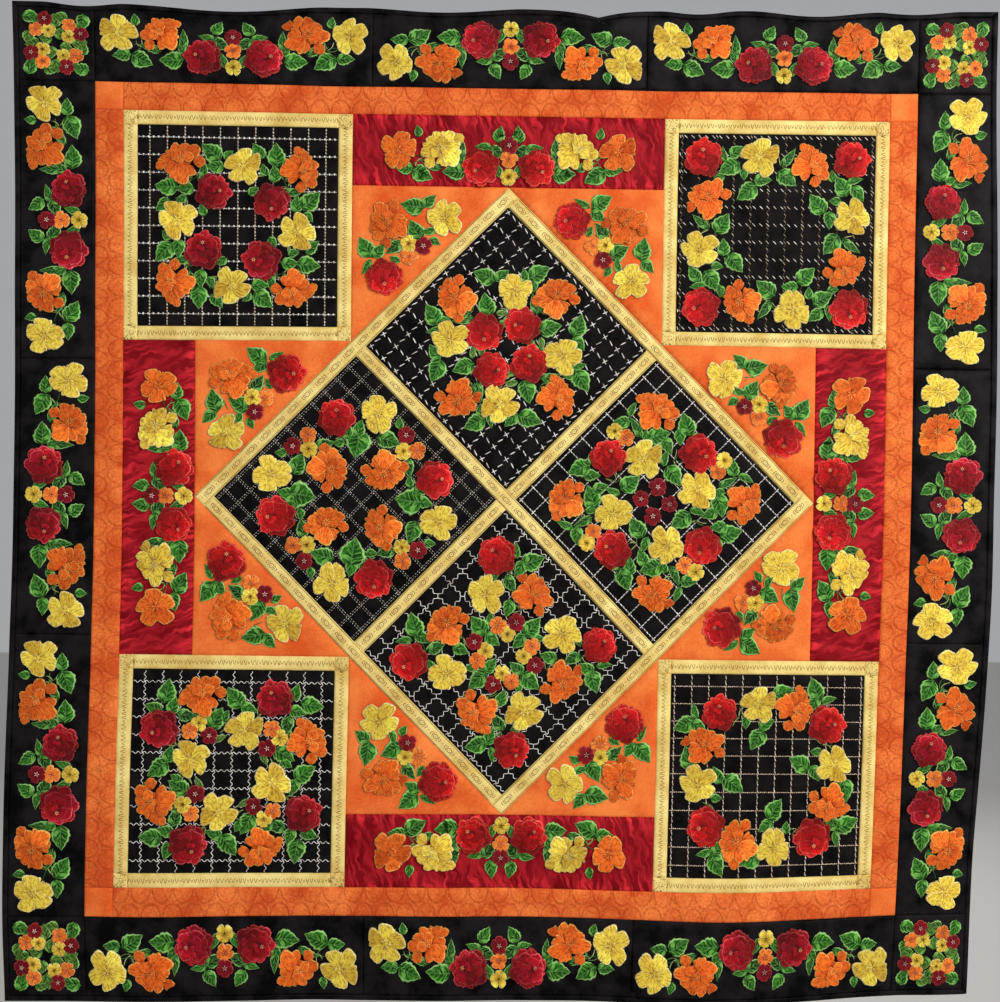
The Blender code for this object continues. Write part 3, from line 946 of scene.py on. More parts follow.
def thread(path, width, height, colour):
    # Four-sided thread along a path, with a point at both ends
    aside, run = alongPath(path, width)
    inside, aside = path[1:-1], aside[1:-1]
    count = len(inside)
    rows = np.empty((count, 4, 3))
    for k in range(4):
        rows[:, k, :2] = inside + (1, 0, -1, 0)[k] * aside
    rows[:, :, 2] = (0.2 * height, height, 0.2 * height, -0.5 * height)
    tips = np.column_stack([path[[0, -1]], (0, 0)])
    flat = np.concatenate([rows.reshape(-1, 3), tips])
    ring = np.arange(4)
    after = np.roll(ring, -1)
    faces = [np.stack([ring + low, after + low, after + low + 4, ring + low + 4], -1)
             for low in range(0, 4 * count - 4, 4)]
    first, last = np.full(4, 4 * count), np.full(4, 4 * count + 1)
    low = 4 * (count - 1)
    faces += [np.stack([first, after, ring], -1), np.stack([ring + low, after + low, last], -1)]
    along = np.concatenate([np.repeat(run[1:-1], 4), run[[0, -1]]])
    around = np.concatenate([np.tile(np.arange(4) * width / 2, count), (0, 0)])
    return {"flat": flat, "faces": faces, "uv": np.column_stack([along, around]),
            "tint": np.tile(colour, (len(flat), 1))}


def leaf(length, width, colours, seed, curled=False):
    # Half width: width / 2 sin(pi u to the low) to the full times 1 - point u^5, which points the
    # tip, with rounded teeth |sin| of teeth pi u on the edge. Arched along the middle, lowest at
    # the rim. One half is darker than the other.
    form, shades = leafShape, leafPaint
    pick = np.random.default_rng(seed)
    v, u = np.meshgrid(form["across"], np.linspace(0, 1, form["along"]), indexing="ij")
    off = np.abs(v)
    start = np.where(v > 0, *pick.uniform(0, 1, 2))
    tooth = np.abs(np.sin(math.pi * (form["teeth"] * u + start))) ** form["toothPower"]
    tooth *= off > 0.5
    first, run = form["run"]
    reach = width / 2 * np.sin(math.pi * (first + run * u) ** form["low"]) ** form["full"]
    reach *= 1 - form["point"] * u ** 5
    least, more = form["width"]
    reach *= least + more * tooth
    bend = form["bend"] * length * np.sin(math.pi * u) * pick.uniform(-1, 1)
    least, more = form["sweep"]
    x = (reach * v + bend) * mm
    z = ((u - 0.5) * length + (least + more * tooth) * length * off) * mm
    inside = (off < 1) * np.clip(np.minimum(u, 1 - u) * form["steep"], 0, 1)
    lift = form["rim"] + (form["rise"] - form["arch"] * off) * inside
    turn = 1 if seed % 2 else -1
    tone = shades["mean"] + shades["halves"] * np.sign(v) * turn
    tone = (tone + shades["wave"] * np.sin(3 * u + seed))[..., None]
    mix = shades["least"] + (1 - shades["least"]) * off * np.sin(math.pi * u) ** 0.5
    mix = np.clip(mix, 0, 1)[..., None]
    body = (colours[0] * (1 - mix) + colours[1] * mix) * tone
    if curled:
        halfLong, deep = shades["hollow"]
        hollow = np.exp(-((u - 0.5) / halfLong) ** 2) * (v == 0)
        body = body * (1 - deep * hollow[..., None])
    index = np.arange(x.size).reshape(x.shape)
    a, b, c, d = index[:-1, :-1], index[1:, :-1], index[1:, 1:], index[:-1, 1:]
    top = np.stack([a, b, c, d], -1).reshape(-1, 4)
    under = np.stack([index[0, :-1], index[0, 1:], index[-1, 1:], index[-1, :-1]], -1)
    ends = np.stack([index[::-1, 0], index[:, -1]])
    return {"flat": np.column_stack([x.ravel(), z.ravel(), lift.ravel()]),
            "faces": [top, under, ends], "uv": np.column_stack([leafMap * v.ravel(), z.ravel()]),
            "tint": body.reshape(-1, 3)}


def tendril(colours, seed):
    # Five thin curls that spread from one point
    form = tendrilShape
    pick = np.random.default_rng(seed)
    parts = []
    for i in range(5):
        off = pick.uniform(-form["turn"], form["turn"])
        turn = math.radians((i - 2) * form["apart"] + off)
        length = pick.uniform(*form["lengths"])
        s = np.linspace(0, 1, 6)
        curl = turn + pick.uniform(-form["bend"], form["bend"]) * s
        path = np.column_stack([-np.sin(curl), np.cos(curl)]) * (s * length)[:, None] * mm
        part = thread(path, form["width"] * mm, form["height"], colours[i % 3])
        part["flat"][:, 2] += form["start"]
        parts.append(part)
    return joined(parts)


centreOf = (shade(250, 205, 190), shade(250, 150, 110), shade(150, 120, 30))
roseHeart = shade(250, 178, 130)


def hearts(kind, colours, seed):
    # The stitches at a flower's heart: turn, start, end and width in mm, colour, and how far up
    # from the flower's middle they spread
    if kind == "five":
        return [(36 * i + 7 * (i % 3), 1.0, 5 + 1.8 * (i % 3), 0.7, colours[3 if i % 2 else 2], 0)
                for i in range(10)]
    if kind == "rose":
        return [(60 * i, 0.3, 2.8, 0.9, roseHeart, 9) for i in range(6)]
    if kind == "bloom":
        return [(45 * i + 20, 0.8, 5.2 + i % 2, 0.7, colours[2], 3) for i in range(8)]
    return [(72 * i + 36, 0.2, 3.6, 1.0, centreOf[seed % 3], 0) for i in range(5)]


def flower(kind, colours, seed):
    # The petals in their order, each a little higher than the last, and the heart's own stitches
    spec = flowerKinds[kind]
    parts = []
    wobbly = variety["petalTurn"]
    for i, (length, width, turn, footX, footZ) in enumerate(petals[kind]):
        wobble = np.random.default_rng(seed * 100 + i).uniform(-wobbly, wobbly)
        size = (length, width, turn + wobble, footX, footZ)
        part = petal(size, kind, colours, seed * 31 + i, petalPad["start"] + spec["step"] * i)
        if spec.get("front") == i:
            part["tint"] *= variety["front"]
        if kind == "rose":
            middle, gain, least, most = variety["rose"]
            part["tint"] *= np.clip(middle + gain * part["flat"][:, 1:2], least, most)
        parts.append(part)
    top = parts[-1]["flat"][:, 2].max() + petalPad["heart"]
    for turn, near, far, width, colour, up in hearts(kind, colours, seed):
        way = np.array([-math.sin(math.radians(turn)), math.cos(math.radians(turn))]) * mm
        path = np.linspace(near, far, 4)[:, None] * way
        part = thread(path, width * mm, petalPad["stitch"], colour)
        part["flat"] += (0, up * mm, top)
        parts.append(part)
    return joined(parts)


sewnKinds = {
    # the first variant's seed; small flowers step on by 6
    "yellow five": 3, "yellow bloom": 3, "yellow small": 2, "orange five": 3, "orange bloom": 3,
    "amber small": 4, "red rose": 3, "wine rose": 3, "maroon small": 6,
}
stemColours = (shade(96, 128, 60), shade(176, 190, 120), shade(40, 92, 40))
shapes = {}
for variant in range(3):
    for name, seed in sewnKinds.items():
        colourName, kind = name.split()
        step = 6 if kind == "small" else 1
        shapes[name, variant] = flower(kind, threadColours[colourName], seed + step * variant)
    for name, (length, width, colourName) in leafSizes.items():
        shapes[name, variant] = leaf(length, width, threadColours[colourName], 70 + variant,
                                     name == "curled")
    shapes["tendril", variant] = tendril(stemColours, 90 + variant)
print("shapes drawn:", len(shapes))


# Where the embroidery goes. Each row is a shape, its place in mm to the right and up, and its
# turn in degrees anticlockwise. A leaf's tip points up before it is turned, a bloom's big petal
# down and a rose's star up.

garland = {
    # right half; the left one mirrors it, and the last three stand in the middle
    "half": (
        ("medium", 19, 25, 33), ("slim", 31, 12, -80), ("curled", 15, 4, 120),
        ("narrow", 61, 7, 0), ("big", 75, -18, -90), ("big", 113, -18, 118),
        ("medium", 136, -13, -92), ("little", 120, 32, -10), ("little", 63, -5, -40),
        ("slim", 12, -19, -20), ("tendril", 56, -12, 10), ("tendril", 112, -2, -60),
        ("narrow", 101, -4, -70), ("yellow five", 142, 15, 10), ("orange bloom", 89, 15, -45),
        ("wine rose", 37, -14, -80),
    ),
    "middle": (
        ("yellow small", 0, -27, 0), ("maroon small", 0, 13, 0), ("amber small", 0, -5, 0),
    ),
}

satinGarland = {
    "half": (
        ("medium", 12, 22, 8), ("slim", 31, 7, -85), ("curled", 15, 1, 130), ("narrow", 58, 5, 0),
        ("big", 67, -25, -90), ("big", 108, -27, 118), ("medium", 129, -20, -92),
        ("little", 113, 25, -10), ("little", 60, -10, -40), ("slim", 12, -22, -20),
        ("tendril", 56, -14, 10), ("tendril", 107, -8, -60), ("narrow", 95, -16, -70),
        ("orange five", 136, 2, 10), ("yellow bloom", 84, 3, -45), ("red rose", 35, -18, -130),
    ),
    "middle": (
        ("yellow small", 0, -30, 0), ("maroon small", 0, 9, 0), ("amber small", 0, -8, 0),
    ),
}

spray = (
    # from the right angle of the triangle at the top left
    ("big", 76, -25, 80), ("medium", 95, -19, -45), ("big", 80, -56, 30),
    ("little", 103, -69, -120), ("curled", 54, -77, 130), ("little", 54, -92, 60),
    ("big", 18, -78, 35), ("medium", 33, -82, -35), ("slim", 19, -101, 150),
    ("slim", 96, -56, 100), ("tendril", 76, -38, -30), ("tendril", 60, -84, 60),
    ("yellow five", 115, -40, 20), ("orange bloom", 45, -46, 74), ("red rose", 41, -114, 180),
    ("yellow small", 71, -72, 0), ("amber small", 72, -88, 0), ("maroon small", 89, -75, 0),
)

wreaths = {
    # one quarter of each, turned round four times
    "block_top_left": (
        ("big", -32, 89, 45), ("little", -12, 87, -45), ("medium", -27, 73, 90),
        ("narrow", -43, 68, 0), ("medium", 26, 92, 40), ("big", 48, 87, 0), ("medium", 45, 64, 0),
        ("little", 33, 69, 20), ("little", 19, 43, -60), ("tendril", 32, 62, 20),
        ("tendril", -56, 58, 70), ("tendril", -48, 62, 120), ("yellow five", 7, 74, 0),
        ("orange bloom", -69, 79, 0), ("wine rose", -30, 42, -90),
    ),
    "block_top_right": (
        ("slim", -67, 97, 10), ("medium", -52, 101, -55), ("big", -59, 81, 122),
        ("medium", -19, 66, -90), ("big", -37, 52, 129), ("narrow", 13, 94, -37),
        ("big", 11, 69, -127), ("little", -42, 74, 180), ("little", -72, 69, 90),
        ("tendril", 4, 84, -40), ("tendril", 80, 80, -30), ("yellow five", -22, 95, 0),
        ("orange bloom", 43, 85, -72), ("red rose", -93, 93, 10),
    ),
    "block_bottom_left": (
        ("big", -82, 96, -8), ("medium", -96, 77, 75), ("medium", -73, 78, -15),
        ("curled", -57, 68, -100), ("big", -20, 63, -30), ("big", 3, 89, 37),
        ("medium", 19, 77, -108), ("pale", -15, 39, -60), ("little", -9, 67, -30),
        ("tendril", -4, 52, 40), ("tendril", 30, 68, -60), ("narrow", -44, 68, -60),
        ("yellow five", 15, 50, 0), ("orange bloom", -37, 94, 11), ("wine rose", 51, 89, 30),
        ("yellow small", -41, 58, 0), ("amber small", -52, 48, 0), ("maroon small", -28, 43, 0),
    ),
    "block_bottom_right": (
        ("big", -106, 61, 114), ("slim", -93, 77, 11), ("medium", -88, 59, -122),
        ("big", 18, 101, -74), ("medium", -2, 62, -58), ("big", -12, 43, 150),
        ("little", -28, 64, 180), ("tendril", -36, 70, 60), ("yellow five", -12, 87, 0),
        ("orange bloom", 35, 80, -114), ("red rose", -62, 76, 5),
    ),
    "diamond_top": (
        ("big", -28, 88, 70), ("medium", -7, 89, -50), ("big", 39, 93, -60), ("slim", 21, 89, 10),
        ("little", 33, 78, 180), ("big", -25, 53, 17), ("narrow", 40, 57, 10),
        ("narrow", -54, 35, 100), ("pale", -6, 43, -90), ("pale", -3, 30, -120),
        ("pale", 2, 36, -70), ("tendril", -42, 46, 60), ("tendril", 4, 46, 0),
        ("yellow five", 9, 70, 0), ("orange bloom", -64, 62, 90), ("red rose", -28, 19, 180),
    ),
    "diamond_left": (
        ("heart", 2, 68, 172), ("medium", 5, 85, -15), ("medium", -12, 82, 20),
        ("big", 40, 71, -110), ("little", 55, 92, 0), ("curled", -39, 66, -80),
        ("little", -20, 68, 90), ("tendril", 48, 66, -60), ("tendril", -12, 76, 30),
        ("yellow five", 28, 104, 0), ("orange bloom", 35, 33, 180), ("red rose", -24, 99, 0),
        ("yellow small", 60, 58, 0), ("amber small", 77, 59, 0), ("maroon small", 63, 78, 0),
    ),
    "diamond_right": (
        ("big", 39, 95, 20), ("medium", 31, 81, 180), ("pale", 53, 81, -95), ("big", 3, 81, -75),
        ("medium", 15, 70, -160), ("slim", 12, 53, -20), ("big", 22, 33, -145),
        ("narrow", -25, 90, 25), ("slim", -30, 113, -25), ("medium", -42, 98, 90),
        ("little", -12, 81, 180), ("tendril", -14, 92, 20), ("tendril", 22, 52, -100),
        ("yellow five", -15, 53, 0), ("orange bloom", 2, 112, -45), ("red rose", -60, 54, -25),
        ("yellow small", -52, 86, 0), ("amber small", -38, 78, 0), ("maroon small", 3, 18, 0),
    ),
    "diamond_bottom": (
        ("big", 33, 113, -75), ("slim", 14, 125, 5), ("medium", 18, 104, 150),
        ("curled", 6, 86, -150), ("little", -16, 92, -65), ("medium", 4, 56, 160),
        ("big", 33, 32, -45), ("medium", 18, 16, 140), ("little", 42, 18, -90),
        ("tendril", 2, 98, -60), ("tendril", 20, 52, 40), ("yellow five", -25, 72, 0),
        ("orange bloom", 35, 72, -68), ("red rose", -11, 119, 40), ("yellow small", 3, 24, 0),
        ("amber small", -9, 34, 0), ("maroon small", 14, 38, 0),
    ),
}

cornerCluster = (
    # one quarter, turned round four times; a fifth value is a size
    ("medium", -30, 32, -100), ("light", -1, 28, 10), ("light", -33, 7, 170),
    ("light", -12, 5, 80, 0.9), ("little", -22, 26, 40), ("maroon small", -13, 30, 0, 0.88),
    ("amber small", -24, 16, 0, 0.88), ("yellow small", -9, 16, 20, 0.85),
)


def placed(part, angle, x, z, flip=False):
    # A copy of some stitches, mirrored, turned and moved
    flat = part["flat"] * (-1 if flip else 1, 1, 1)
    across, up = turnAbout(flat[:, 0], flat[:, 1], angle)
    faces = [rows[:, ::-1] for rows in part["faces"]] if flip else part["faces"]
    return {**part, "flat": np.column_stack([across + x, up + z, flat[:, 2]]), "faces": faces}


def sew(row, seed, flip):
    # A copy of a shape at its place, in one of its three variants
    name, x, z, turn, *scale = row
    shape = shapes[name, seed % 3]
    pick = np.random.default_rng(seed)
    size = pick.uniform(*variety["sizes"]) * (scale[0] if scale else 1)
    way = -1 if flip else 1
    spin = math.radians(way * turn + pick.uniform(-variety["turn"], variety["turn"]))
    sized = {**shape, "flat": shape["flat"] * (size, size, 1)}
    part = placed(sized, spin, way * x * mm, z * mm, flip)
    part["flat"][:, 2] += pick.uniform(0, 0.0003) + (0.0004 if name in sewnKinds else 0)
    part["uv"] = part["uv"] + (0 if name in leafSizes else pick.uniform(0, 0.5, 2))
    part["tint"] = part["tint"] * pick.uniform(*variety["tones"])
    return part


def embroider(piece, node, parts, lift=0, look="thread"):
    # Lays stitches on the front of the cloth of one solid
    whole = joined(parts)
    x, z, height = whole["flat"].T
    kind, angle, seed = clothShape[node]
    p, q = turnAbout(x, z, -angle)
    base = quilt["thick"] / 2 + clothHeight(kind, p, q, seed)
    made = buildPiece(piece, hang(x, z, base + height + lift), whole["faces"], [looks[look]],
                      uv=whole["uv"], tint=np.clip(whole["tint"], 0, 1))


def stitchGroup(name, node, groups, lift=0):
    # groups holds rows with the angle, x, z and flip that place them
    leaves, stems, flowers = [], [], []
    seed = 0
    for rows, angle, x, z, flip in groups:
        for row in rows:
            seed += 1
            sewn = placed(sew(row, seed * 7 + len(name), flip), angle, x, z)
            pile = leaves if row[0] in leafSizes else flowers if row[0] in sewnKinds else stems
            pile.append(sewn)
    embroider(name + "_leaves", node, leaves, lift, "leaf")
    if stems:
        embroider(name + "_stems", node, stems, lift)
    embroider(name + "_flowers", node, flowers, lift)


def layGarland(name, node, design, angle, x, z, inward, lift=0):
    # inward turns the garland so that its roses point to the hanging's middle
    place = (angle if inward else angle + math.pi, *turnAbout(x, z, angle))
    stitchGroup(name, node, [(design["half"], *place, False), (design["half"], *place, True),
                             (design["middle"], *place, False)], lift)


borderMiddle = (halfOrange + halfBlack) / 2
satinMiddle = (halfDiamond + halfPanel) / 2 - 2 * mm
satinLift = 0.0006
for turn, (sideName, cornerName) in enumerate(zip(sideNames, cornerNames)):
    angle = turn * quarter
    for i in range(quilt["panels"]):
        layGarland(f"garland_{sideName}_{i + 1}", f"border_{sideName}_{i + 1}", garland, angle,
                   (i - 1) * 2 * panelSeam, borderMiddle, i != 1)
    layGarland(f"garland_{sideName}_satin", f"crimson_{sideName}", satinGarland, angle, 0,
               satinMiddle, True, satinLift)
    place = turnAbout(-borderMiddle, borderMiddle, angle)
    stitchGroup(f"cluster_{cornerName}", f"border_corner_{cornerName}",
                [(cornerCluster, k * quarter, *place, False) for k in range(4)])
print("garlands sewn")

sprayTurns = {
    # quarter turns and mirroring of the spray in each triangle
    "top_1": (0, False), "top_2": (3, False), "left_1": (2, True), "left_2": (1, True),
    "bottom_1": (2, False), "bottom_2": (1, False), "right_1": (0, True), "right_2": (3, True),
}
for name, (turns, flip) in sprayTurns.items():
    cornerX, cornerZ = (halfOpen, halfDiamond) if name[0] in "tb" else (halfDiamond, halfOpen)
    signX, signZ = turnAbout(1 if flip else -1, 1, turns * quarter)
    place = (round(signX) * cornerX, round(signZ) * cornerZ, flip)
    stitchGroup("spray_" + name, "triangle_" + name, [(spray, turns * quarter, *place)])
print("sprays sewn")

blockMiddle = halfPanel - quilt["cornerBlock"] / 2
diamondMiddle = (quilt["sash"] + quilt["blockSide"]) / root2
wreathPlace = {
    "block_top_left": (-blockMiddle, blockMiddle), "block_top_right": (blockMiddle, blockMiddle),
    "block_bottom_left": (-blockMiddle, -blockMiddle),
    "block_bottom_right": (blockMiddle, -blockMiddle),
    "diamond_top": (0, diamondMiddle), "diamond_left": (-diamondMiddle, 0),
    "diamond_right": (diamondMiddle, 0), "diamond_bottom": (0, -diamondMiddle),
}


def groundOf(name):
    return name + "_ground" if "block" in name else name


for name, place in wreathPlace.items():
    stitchGroup("wreath_" + name, groundOf(name),
                [(wreaths[name], k * quarter, *place, False) for k in range(4)])
print("wreaths sewn")


# Decorative stitches

gridCell = 0.0217
gridReach = 0.1225

# How far each shape hides the stitches under it, in mm
hidden = {"five": 19, "rose": 20, "bloom": 18, "small": 7, "big": 8, "medium": 6, "heart": 12,
          "little": 5}

ivory = shade(255, 253, 248)
brown = shade(126, 86, 36)
ochre = shade(152, 114, 54)

gridStitches = {
    # For the lines across and the lines up: the pitch in mm, the colour, and strokes with their
    # start and end along and across the line and their width, in mm
    "block_top_left": (
        (6.2, shade(255, 255, 250), ((0.0, 0.1, 3.0, 0.1, 3.0), (2.4, -0.2, 6.4, -0.2, 0.8))),
        (4.1, shade(238, 226, 198), ((0, -0.5, 2.2, 0.5, 2.0), (1.8, 0.7, 4.4, -0.7, 0.5)))),
    "block_top_right": (
        (8.7, shade(255, 253, 246), ((0, 2.3, 5.0, -2.5, 1.1),)),
        (8.7, shade(186, 168, 136), ((0, -1.6, 4.8, 1.7, 1.3), (5.2, 1.6, 8.4, -1.6, 0.3)))),
    "block_bottom_right": (
        (5.5, shade(246, 224, 196), ((0, -0.5, 2.8, 0.4, 1.3), (2.5, 0.4, 5.5, -0.4, 1.1))),
        (7.3, shade(246, 228, 204), ((0, -0.7, 4.4, 0.1, 1.5), (3.6, 0.6, 7.0, -0.1, 1.1)))),
    "diamond_top": 2 * ((10.85, ivory, ((0.8, 1.4, 9.9, -1.4, 1.45),)),),
    "diamond_left": 2 * ((3.8, shade(244, 240, 228), ((0, 1.25, 2.7, 1.15, 0.68),
                                                      (1.0, -1.15, 3.6, -1.25, 0.68))),),
    "diamond_right": 2 * ((4.8, ivory, ((0, 0.35, 5.3, -0.35, 1.4),)),),
}

gridWaves = {
    # half waves in a cell, and their height in mm
    "block_bottom_left": (6, 1.3), "diamond_bottom": (5, 1.5),
}

gridShift = {
    # how far the lines across and the lines up are moved, in cells
    "block_top_right": (0.5, 0.5), "block_bottom_right": (0, 0.5), "diamond_top": (0.5, 0.5),
    "diamond_left": (0, 0.5), "diamond_right": (0.5, 0.5), "diamond_bottom": (0.5, 0),
}


def dashes(rows, height, colour, seed):
    # Spindle-shaped stitches with three edges and two rings, one for each row: x, up, x, up and
    # width in metres. The height is in mm.
    start, run, width = rows[:, :2], rows[:, 2:4] - rows[:, :2], rows[:, 4:5]
    length = np.linalg.norm(run, axis=1, keepdims=True)
    aside = np.column_stack([-run[:, 1], run[:, 0]]) / length * width / 2
    count = len(rows)
    flat = np.zeros((count, 8, 3))
    uv = np.zeros((count, 8, 2))
    flat[:, 0, :2] = start
    flat[:, 7, :2] = start + run
    uv[:, 7, 0] = length[:, 0]
    for ring, share in ((1, 0.25), (4, 0.75)):
        middle = start + share * run
        for k in range(3):
            flat[:, ring + k, :2] = middle + (1 - k) * aside
            uv[:, ring + k, 0] = share * length[:, 0]
            uv[:, ring + k, 1] = k * width[:, 0] / 2
        flat[:, ring + 1, 2] = height * mm
    quads = np.array([[1, 2, 5, 4], [2, 3, 6, 5], [3, 1, 4, 6]])
    tips = np.array([[0, 2, 1], [0, 3, 2], [0, 1, 3], [7, 4, 5], [7, 5, 6], [7, 6, 4]])
    first = 8 * np.arange(count)[:, None, None]
    pick = np.random.default_rng(seed)
    tone = np.repeat(pick.uniform(0.65, 1.08, count), 8)[:, None]
    place = np.repeat(pick.uniform(0, 1, (count, 2)), 8, axis=0)
    return {"flat": flat.reshape(-1, 3), "uv": uv.reshape(-1, 2) + place, "tint": tone * colour,
            "faces": [(quads + first).reshape(-1, 4), (tips + first).reshape(-1, 3)]}


def cord(path, width, height, colour):
    # Three-edged thread along a path, its ends closed flat. Width and height are in mm.
    aside, run = alongPath(path, width * mm)
    count = len(path)
    flat = np.zeros((count, 3, 3))
    for k in range(3):
        flat[:, k, :2] = path + (1 - k) * aside
    flat[:, 1, 2] = height * mm
    low = 3 * np.arange(count - 1)[:, None]
    sides = [np.array([[a, b, b + 3, a + 3]]) + low for a, b in ((0, 1), (1, 2), (2, 0))]
    last = 3 * count - 3
    ends = np.array([[2, 1, 0], [last, last + 1, last + 2]])
    around = np.tile((0, width * mm / 2, width * mm), count)
    return {"flat": flat.reshape(-1, 3), "faces": [*sides, ends],
            "uv": np.column_stack([np.repeat(run, 3), around]),
            "tint": np.tile(colour, (3 * count, 1))}


def clear(places, motifs):
    # Which places no flower or leaf covers
    away = np.linalg.norm(places[:, None] - motifs[None, :, :2], axis=2)
    return (away > motifs[:, 2]).all(axis=1)


def strokeLine(pitch, strokes, length):
    # The strokes of one line, from one end to the other, about its middle
    count = math.ceil(length / (pitch * mm))
    start = np.repeat((np.arange(count) - count / 2) * pitch * mm, len(strokes))[:, None]
    rows = np.tile(np.array(strokes) * mm, (count, 1))
    rows[:, [0, 2]] = np.clip(rows[:, [0, 2]] + start, -length / 2, length / 2)
    return rows[rows[:, 2] - rows[:, 0] > 0.4 * mm]


def turned(rows, angle):
    first = np.column_stack(turnAbout(rows[:, 0], rows[:, 1], angle))
    second = np.column_stack(turnAbout(rows[:, 2], rows[:, 3], angle))
    return np.column_stack([first, second, rows[:, 4]])


def wavyLines(name, motifs, angle, k, across):
    # Sine waves along line k of a grid, broken where a flower or leaf covers them. Those of the
    # diamond at the bottom draw a lattice of rounded crosses.
    halfWaves, high = gridWaves[name]
    step = gridCell / 18
    s = np.arange(-gridReach, gridReach + step / 2, step)
    t = high * mm * np.sin(halfWaves * math.pi * (s / gridCell + across))
    path = np.column_stack(turnAbout(s, t + k * gridCell, angle))
    seen = clear(path, motifs)
    edges = np.flatnonzero(np.diff(np.concatenate([[0], seen.astype(int), [0]])))
    return [cord(path[first:last], 0.9, 0.25, shade(255, 255, 250))
            for first, last in zip(edges[::2], edges[1::2]) if last - first > 3]


def layGrid(name, place):
    # Both directions of the lines on one block's ground
    spin = 0 if "block" in name else -eighth
    motifs = []
    for k in range(4):
        for shape, x, z, *turn in wreaths[name]:
            size = hidden.get(shape.split()[-1])
            if size:
                motifs.append((*turnAbout(x * mm, z * mm, k * quarter), size * mm))
    motifs = np.array(motifs)
    shift = gridShift.get(name, (0, 0))
    parts = []
    for way in (0, 1):
        angle = spin + way * quarter
        for k in np.arange(-5 - shift[way], 6 + shift[way]):
            if name in gridWaves:
                parts += wavyLines(name, motifs, angle, k, shift[1 - way])
                continue
            pitch, colour, strokes = gridStitches[name][way]
            rows = strokeLine(pitch, strokes, 2 * gridReach) + np.array([0, k, 0, k, 0]) * gridCell
            rows = turned(rows, angle)
            rows = rows[clear((rows[:, :2] + rows[:, 2:4]) / 2, motifs)]
            parts.append(dashes(rows, 0.6, colour, 50 + int(2 * k)))
    embroider("grid_" + name, groundOf(name),
              [placed(part, 0, *place) for part in parts])


for name, place in wreathPlace.items():
    layGrid(name, place)
print("grids stitched")


frameMarks = {
    # along each side of a block's frame, in mm: pairs of tall peaks with a small one between
    "pitch": 13.7,
    "strokes": ((0, -3.7, 2.1, 3.4, 0.7), (2.2, 3.4, 4.3, -3.7, 0.7), (5.1, -3.6, 7.1, 3.3, 0.7),
                (7.2, 3.3, 9.2, -3.7, 0.7), (10.0, -1.7, 11.2, 1.8, 0.6),
                (11.4, 1.8, 12.7, -1.7, 0.6)),
    "speckles": 34, "speckleReach": (0.7, 1.5), "speckleWidth": 0.55,
}

sashMarks = {
    # in mm: the medallions' spacing, their ring, the arcs beside it (start, half height, depth),
    # and the lines along both edges
    "pitch": 24.4, "ring": (3.3, 2.7), "arcs": ((5.2, 3.1, 1.6), (8.0, 2.6, 1.3)),
    "dots": ((-0.5, 0, 0.7, 0, 0.7), (11.2, -0.8, 12.2, 0.4, 0.6), (-12.2, 0.6, -11.2, -0.6, 0.6)),
    "edge": 1.4, "edgeStep": 12,
}


def speckles(side, seed):
    # Short marks that point everywhere, over a square about the middle
    pick = np.random.default_rng(seed)
    count = frameMarks["speckles"]
    start = pick.uniform(-0.5, 0.5, (count, 2)) * (side - 2.5 * mm)
    turn = pick.uniform(0, math.pi, count)
    run = pick.uniform(*frameMarks["speckleReach"], (count, 1)) * mm
    run = np.column_stack([np.cos(turn), np.sin(turn)]) * run
    width = np.full(count, frameMarks["speckleWidth"] * mm)
    return dashes(np.column_stack([start - run, start + run, width]), 0.2, brown, seed)


def frameStitches(turn):
    # The peaks along each side of a block's frame, and speckles on its corners
    node = f"block_{cornerNames[turn]}_frame"
    place = turnAbout(-blockMiddle, blockMiddle, turn * quarter)
    middle = (quilt["blockSide"] + quilt["sash"]) / 2
    line = strokeLine(frameMarks["pitch"], frameMarks["strokes"], quilt["blockSide"])
    parts = []
    for k in range(4):
        up = 1 if k % 3 else -1
        rows = line * (1, up, 1, up, 1) + np.array([0, middle, 0, middle, 0])
        parts.append(dashes(turned(rows, k * quarter), 0.25, ochre, 80 + k))
        parts.append(placed(speckles(quilt["sash"], 90 + k), 0,
                            *turnAbout(middle, middle, k * quarter)))
    embroider("marks_" + node, node, [placed(part, 0, *place) for part in parts])


def medallion():
    # A ring between two pairs of arcs, about the middle
    wide, tall = sashMarks["ring"]
    t = np.linspace(0, 2 * math.pi, 11)
    parts = [cord(np.column_stack([wide * np.cos(t), tall * np.sin(t)]) * mm, 0.8, 0.2, brown)]
    bend = np.linspace(-1, 1, 5)
    for way in (-1, 1):
        for start, tall, deep in sashMarks["arcs"]:
            path = np.column_stack([way * (start - deep * bend ** 2), tall * bend]) * mm
            parts.append(cord(path, 0.75, 0.2, brown))
    return joined(parts + [dashes(np.array(sashMarks["dots"]) * mm, 0.2, brown, 5)])


def sashStitches(name, sides):
    # Lines along both edges and medallions between them
    left, low, right, high = sides
    wide, long = sorted((right - left, high - low))
    spin = 0 if right - left > high - low else quarter
    s = np.arange(-long / 2 + 2 * mm, long / 2 - 2 * mm, sashMarks["edgeStep"] * mm)
    edge = wide / 2 - sashMarks["edge"] * mm
    parts = [cord(np.column_stack([s, np.full(len(s), t)]), 0.5, 0.25, brown * 0.6)
             for t in (-edge, edge)]
    pitch = sashMarks["pitch"] * mm
    count = int(long / pitch)
    motif = medallion()
    parts += [placed(motif, 0, (i - (count - 1) / 2) * pitch, 0) for i in range(count)]
    parts = [placed(part, spin, (left + right) / 2, (low + high) / 2) for part in parts]
    embroider("marks_sash_" + name, "sash_" + name,
              [placed(part, -eighth, 0, 0) for part in parts])


for turn in range(4):
    frameStitches(turn)
for name, sides in diamondSashes.items():
    sashStitches(name, sides)
print("sashes stitched")


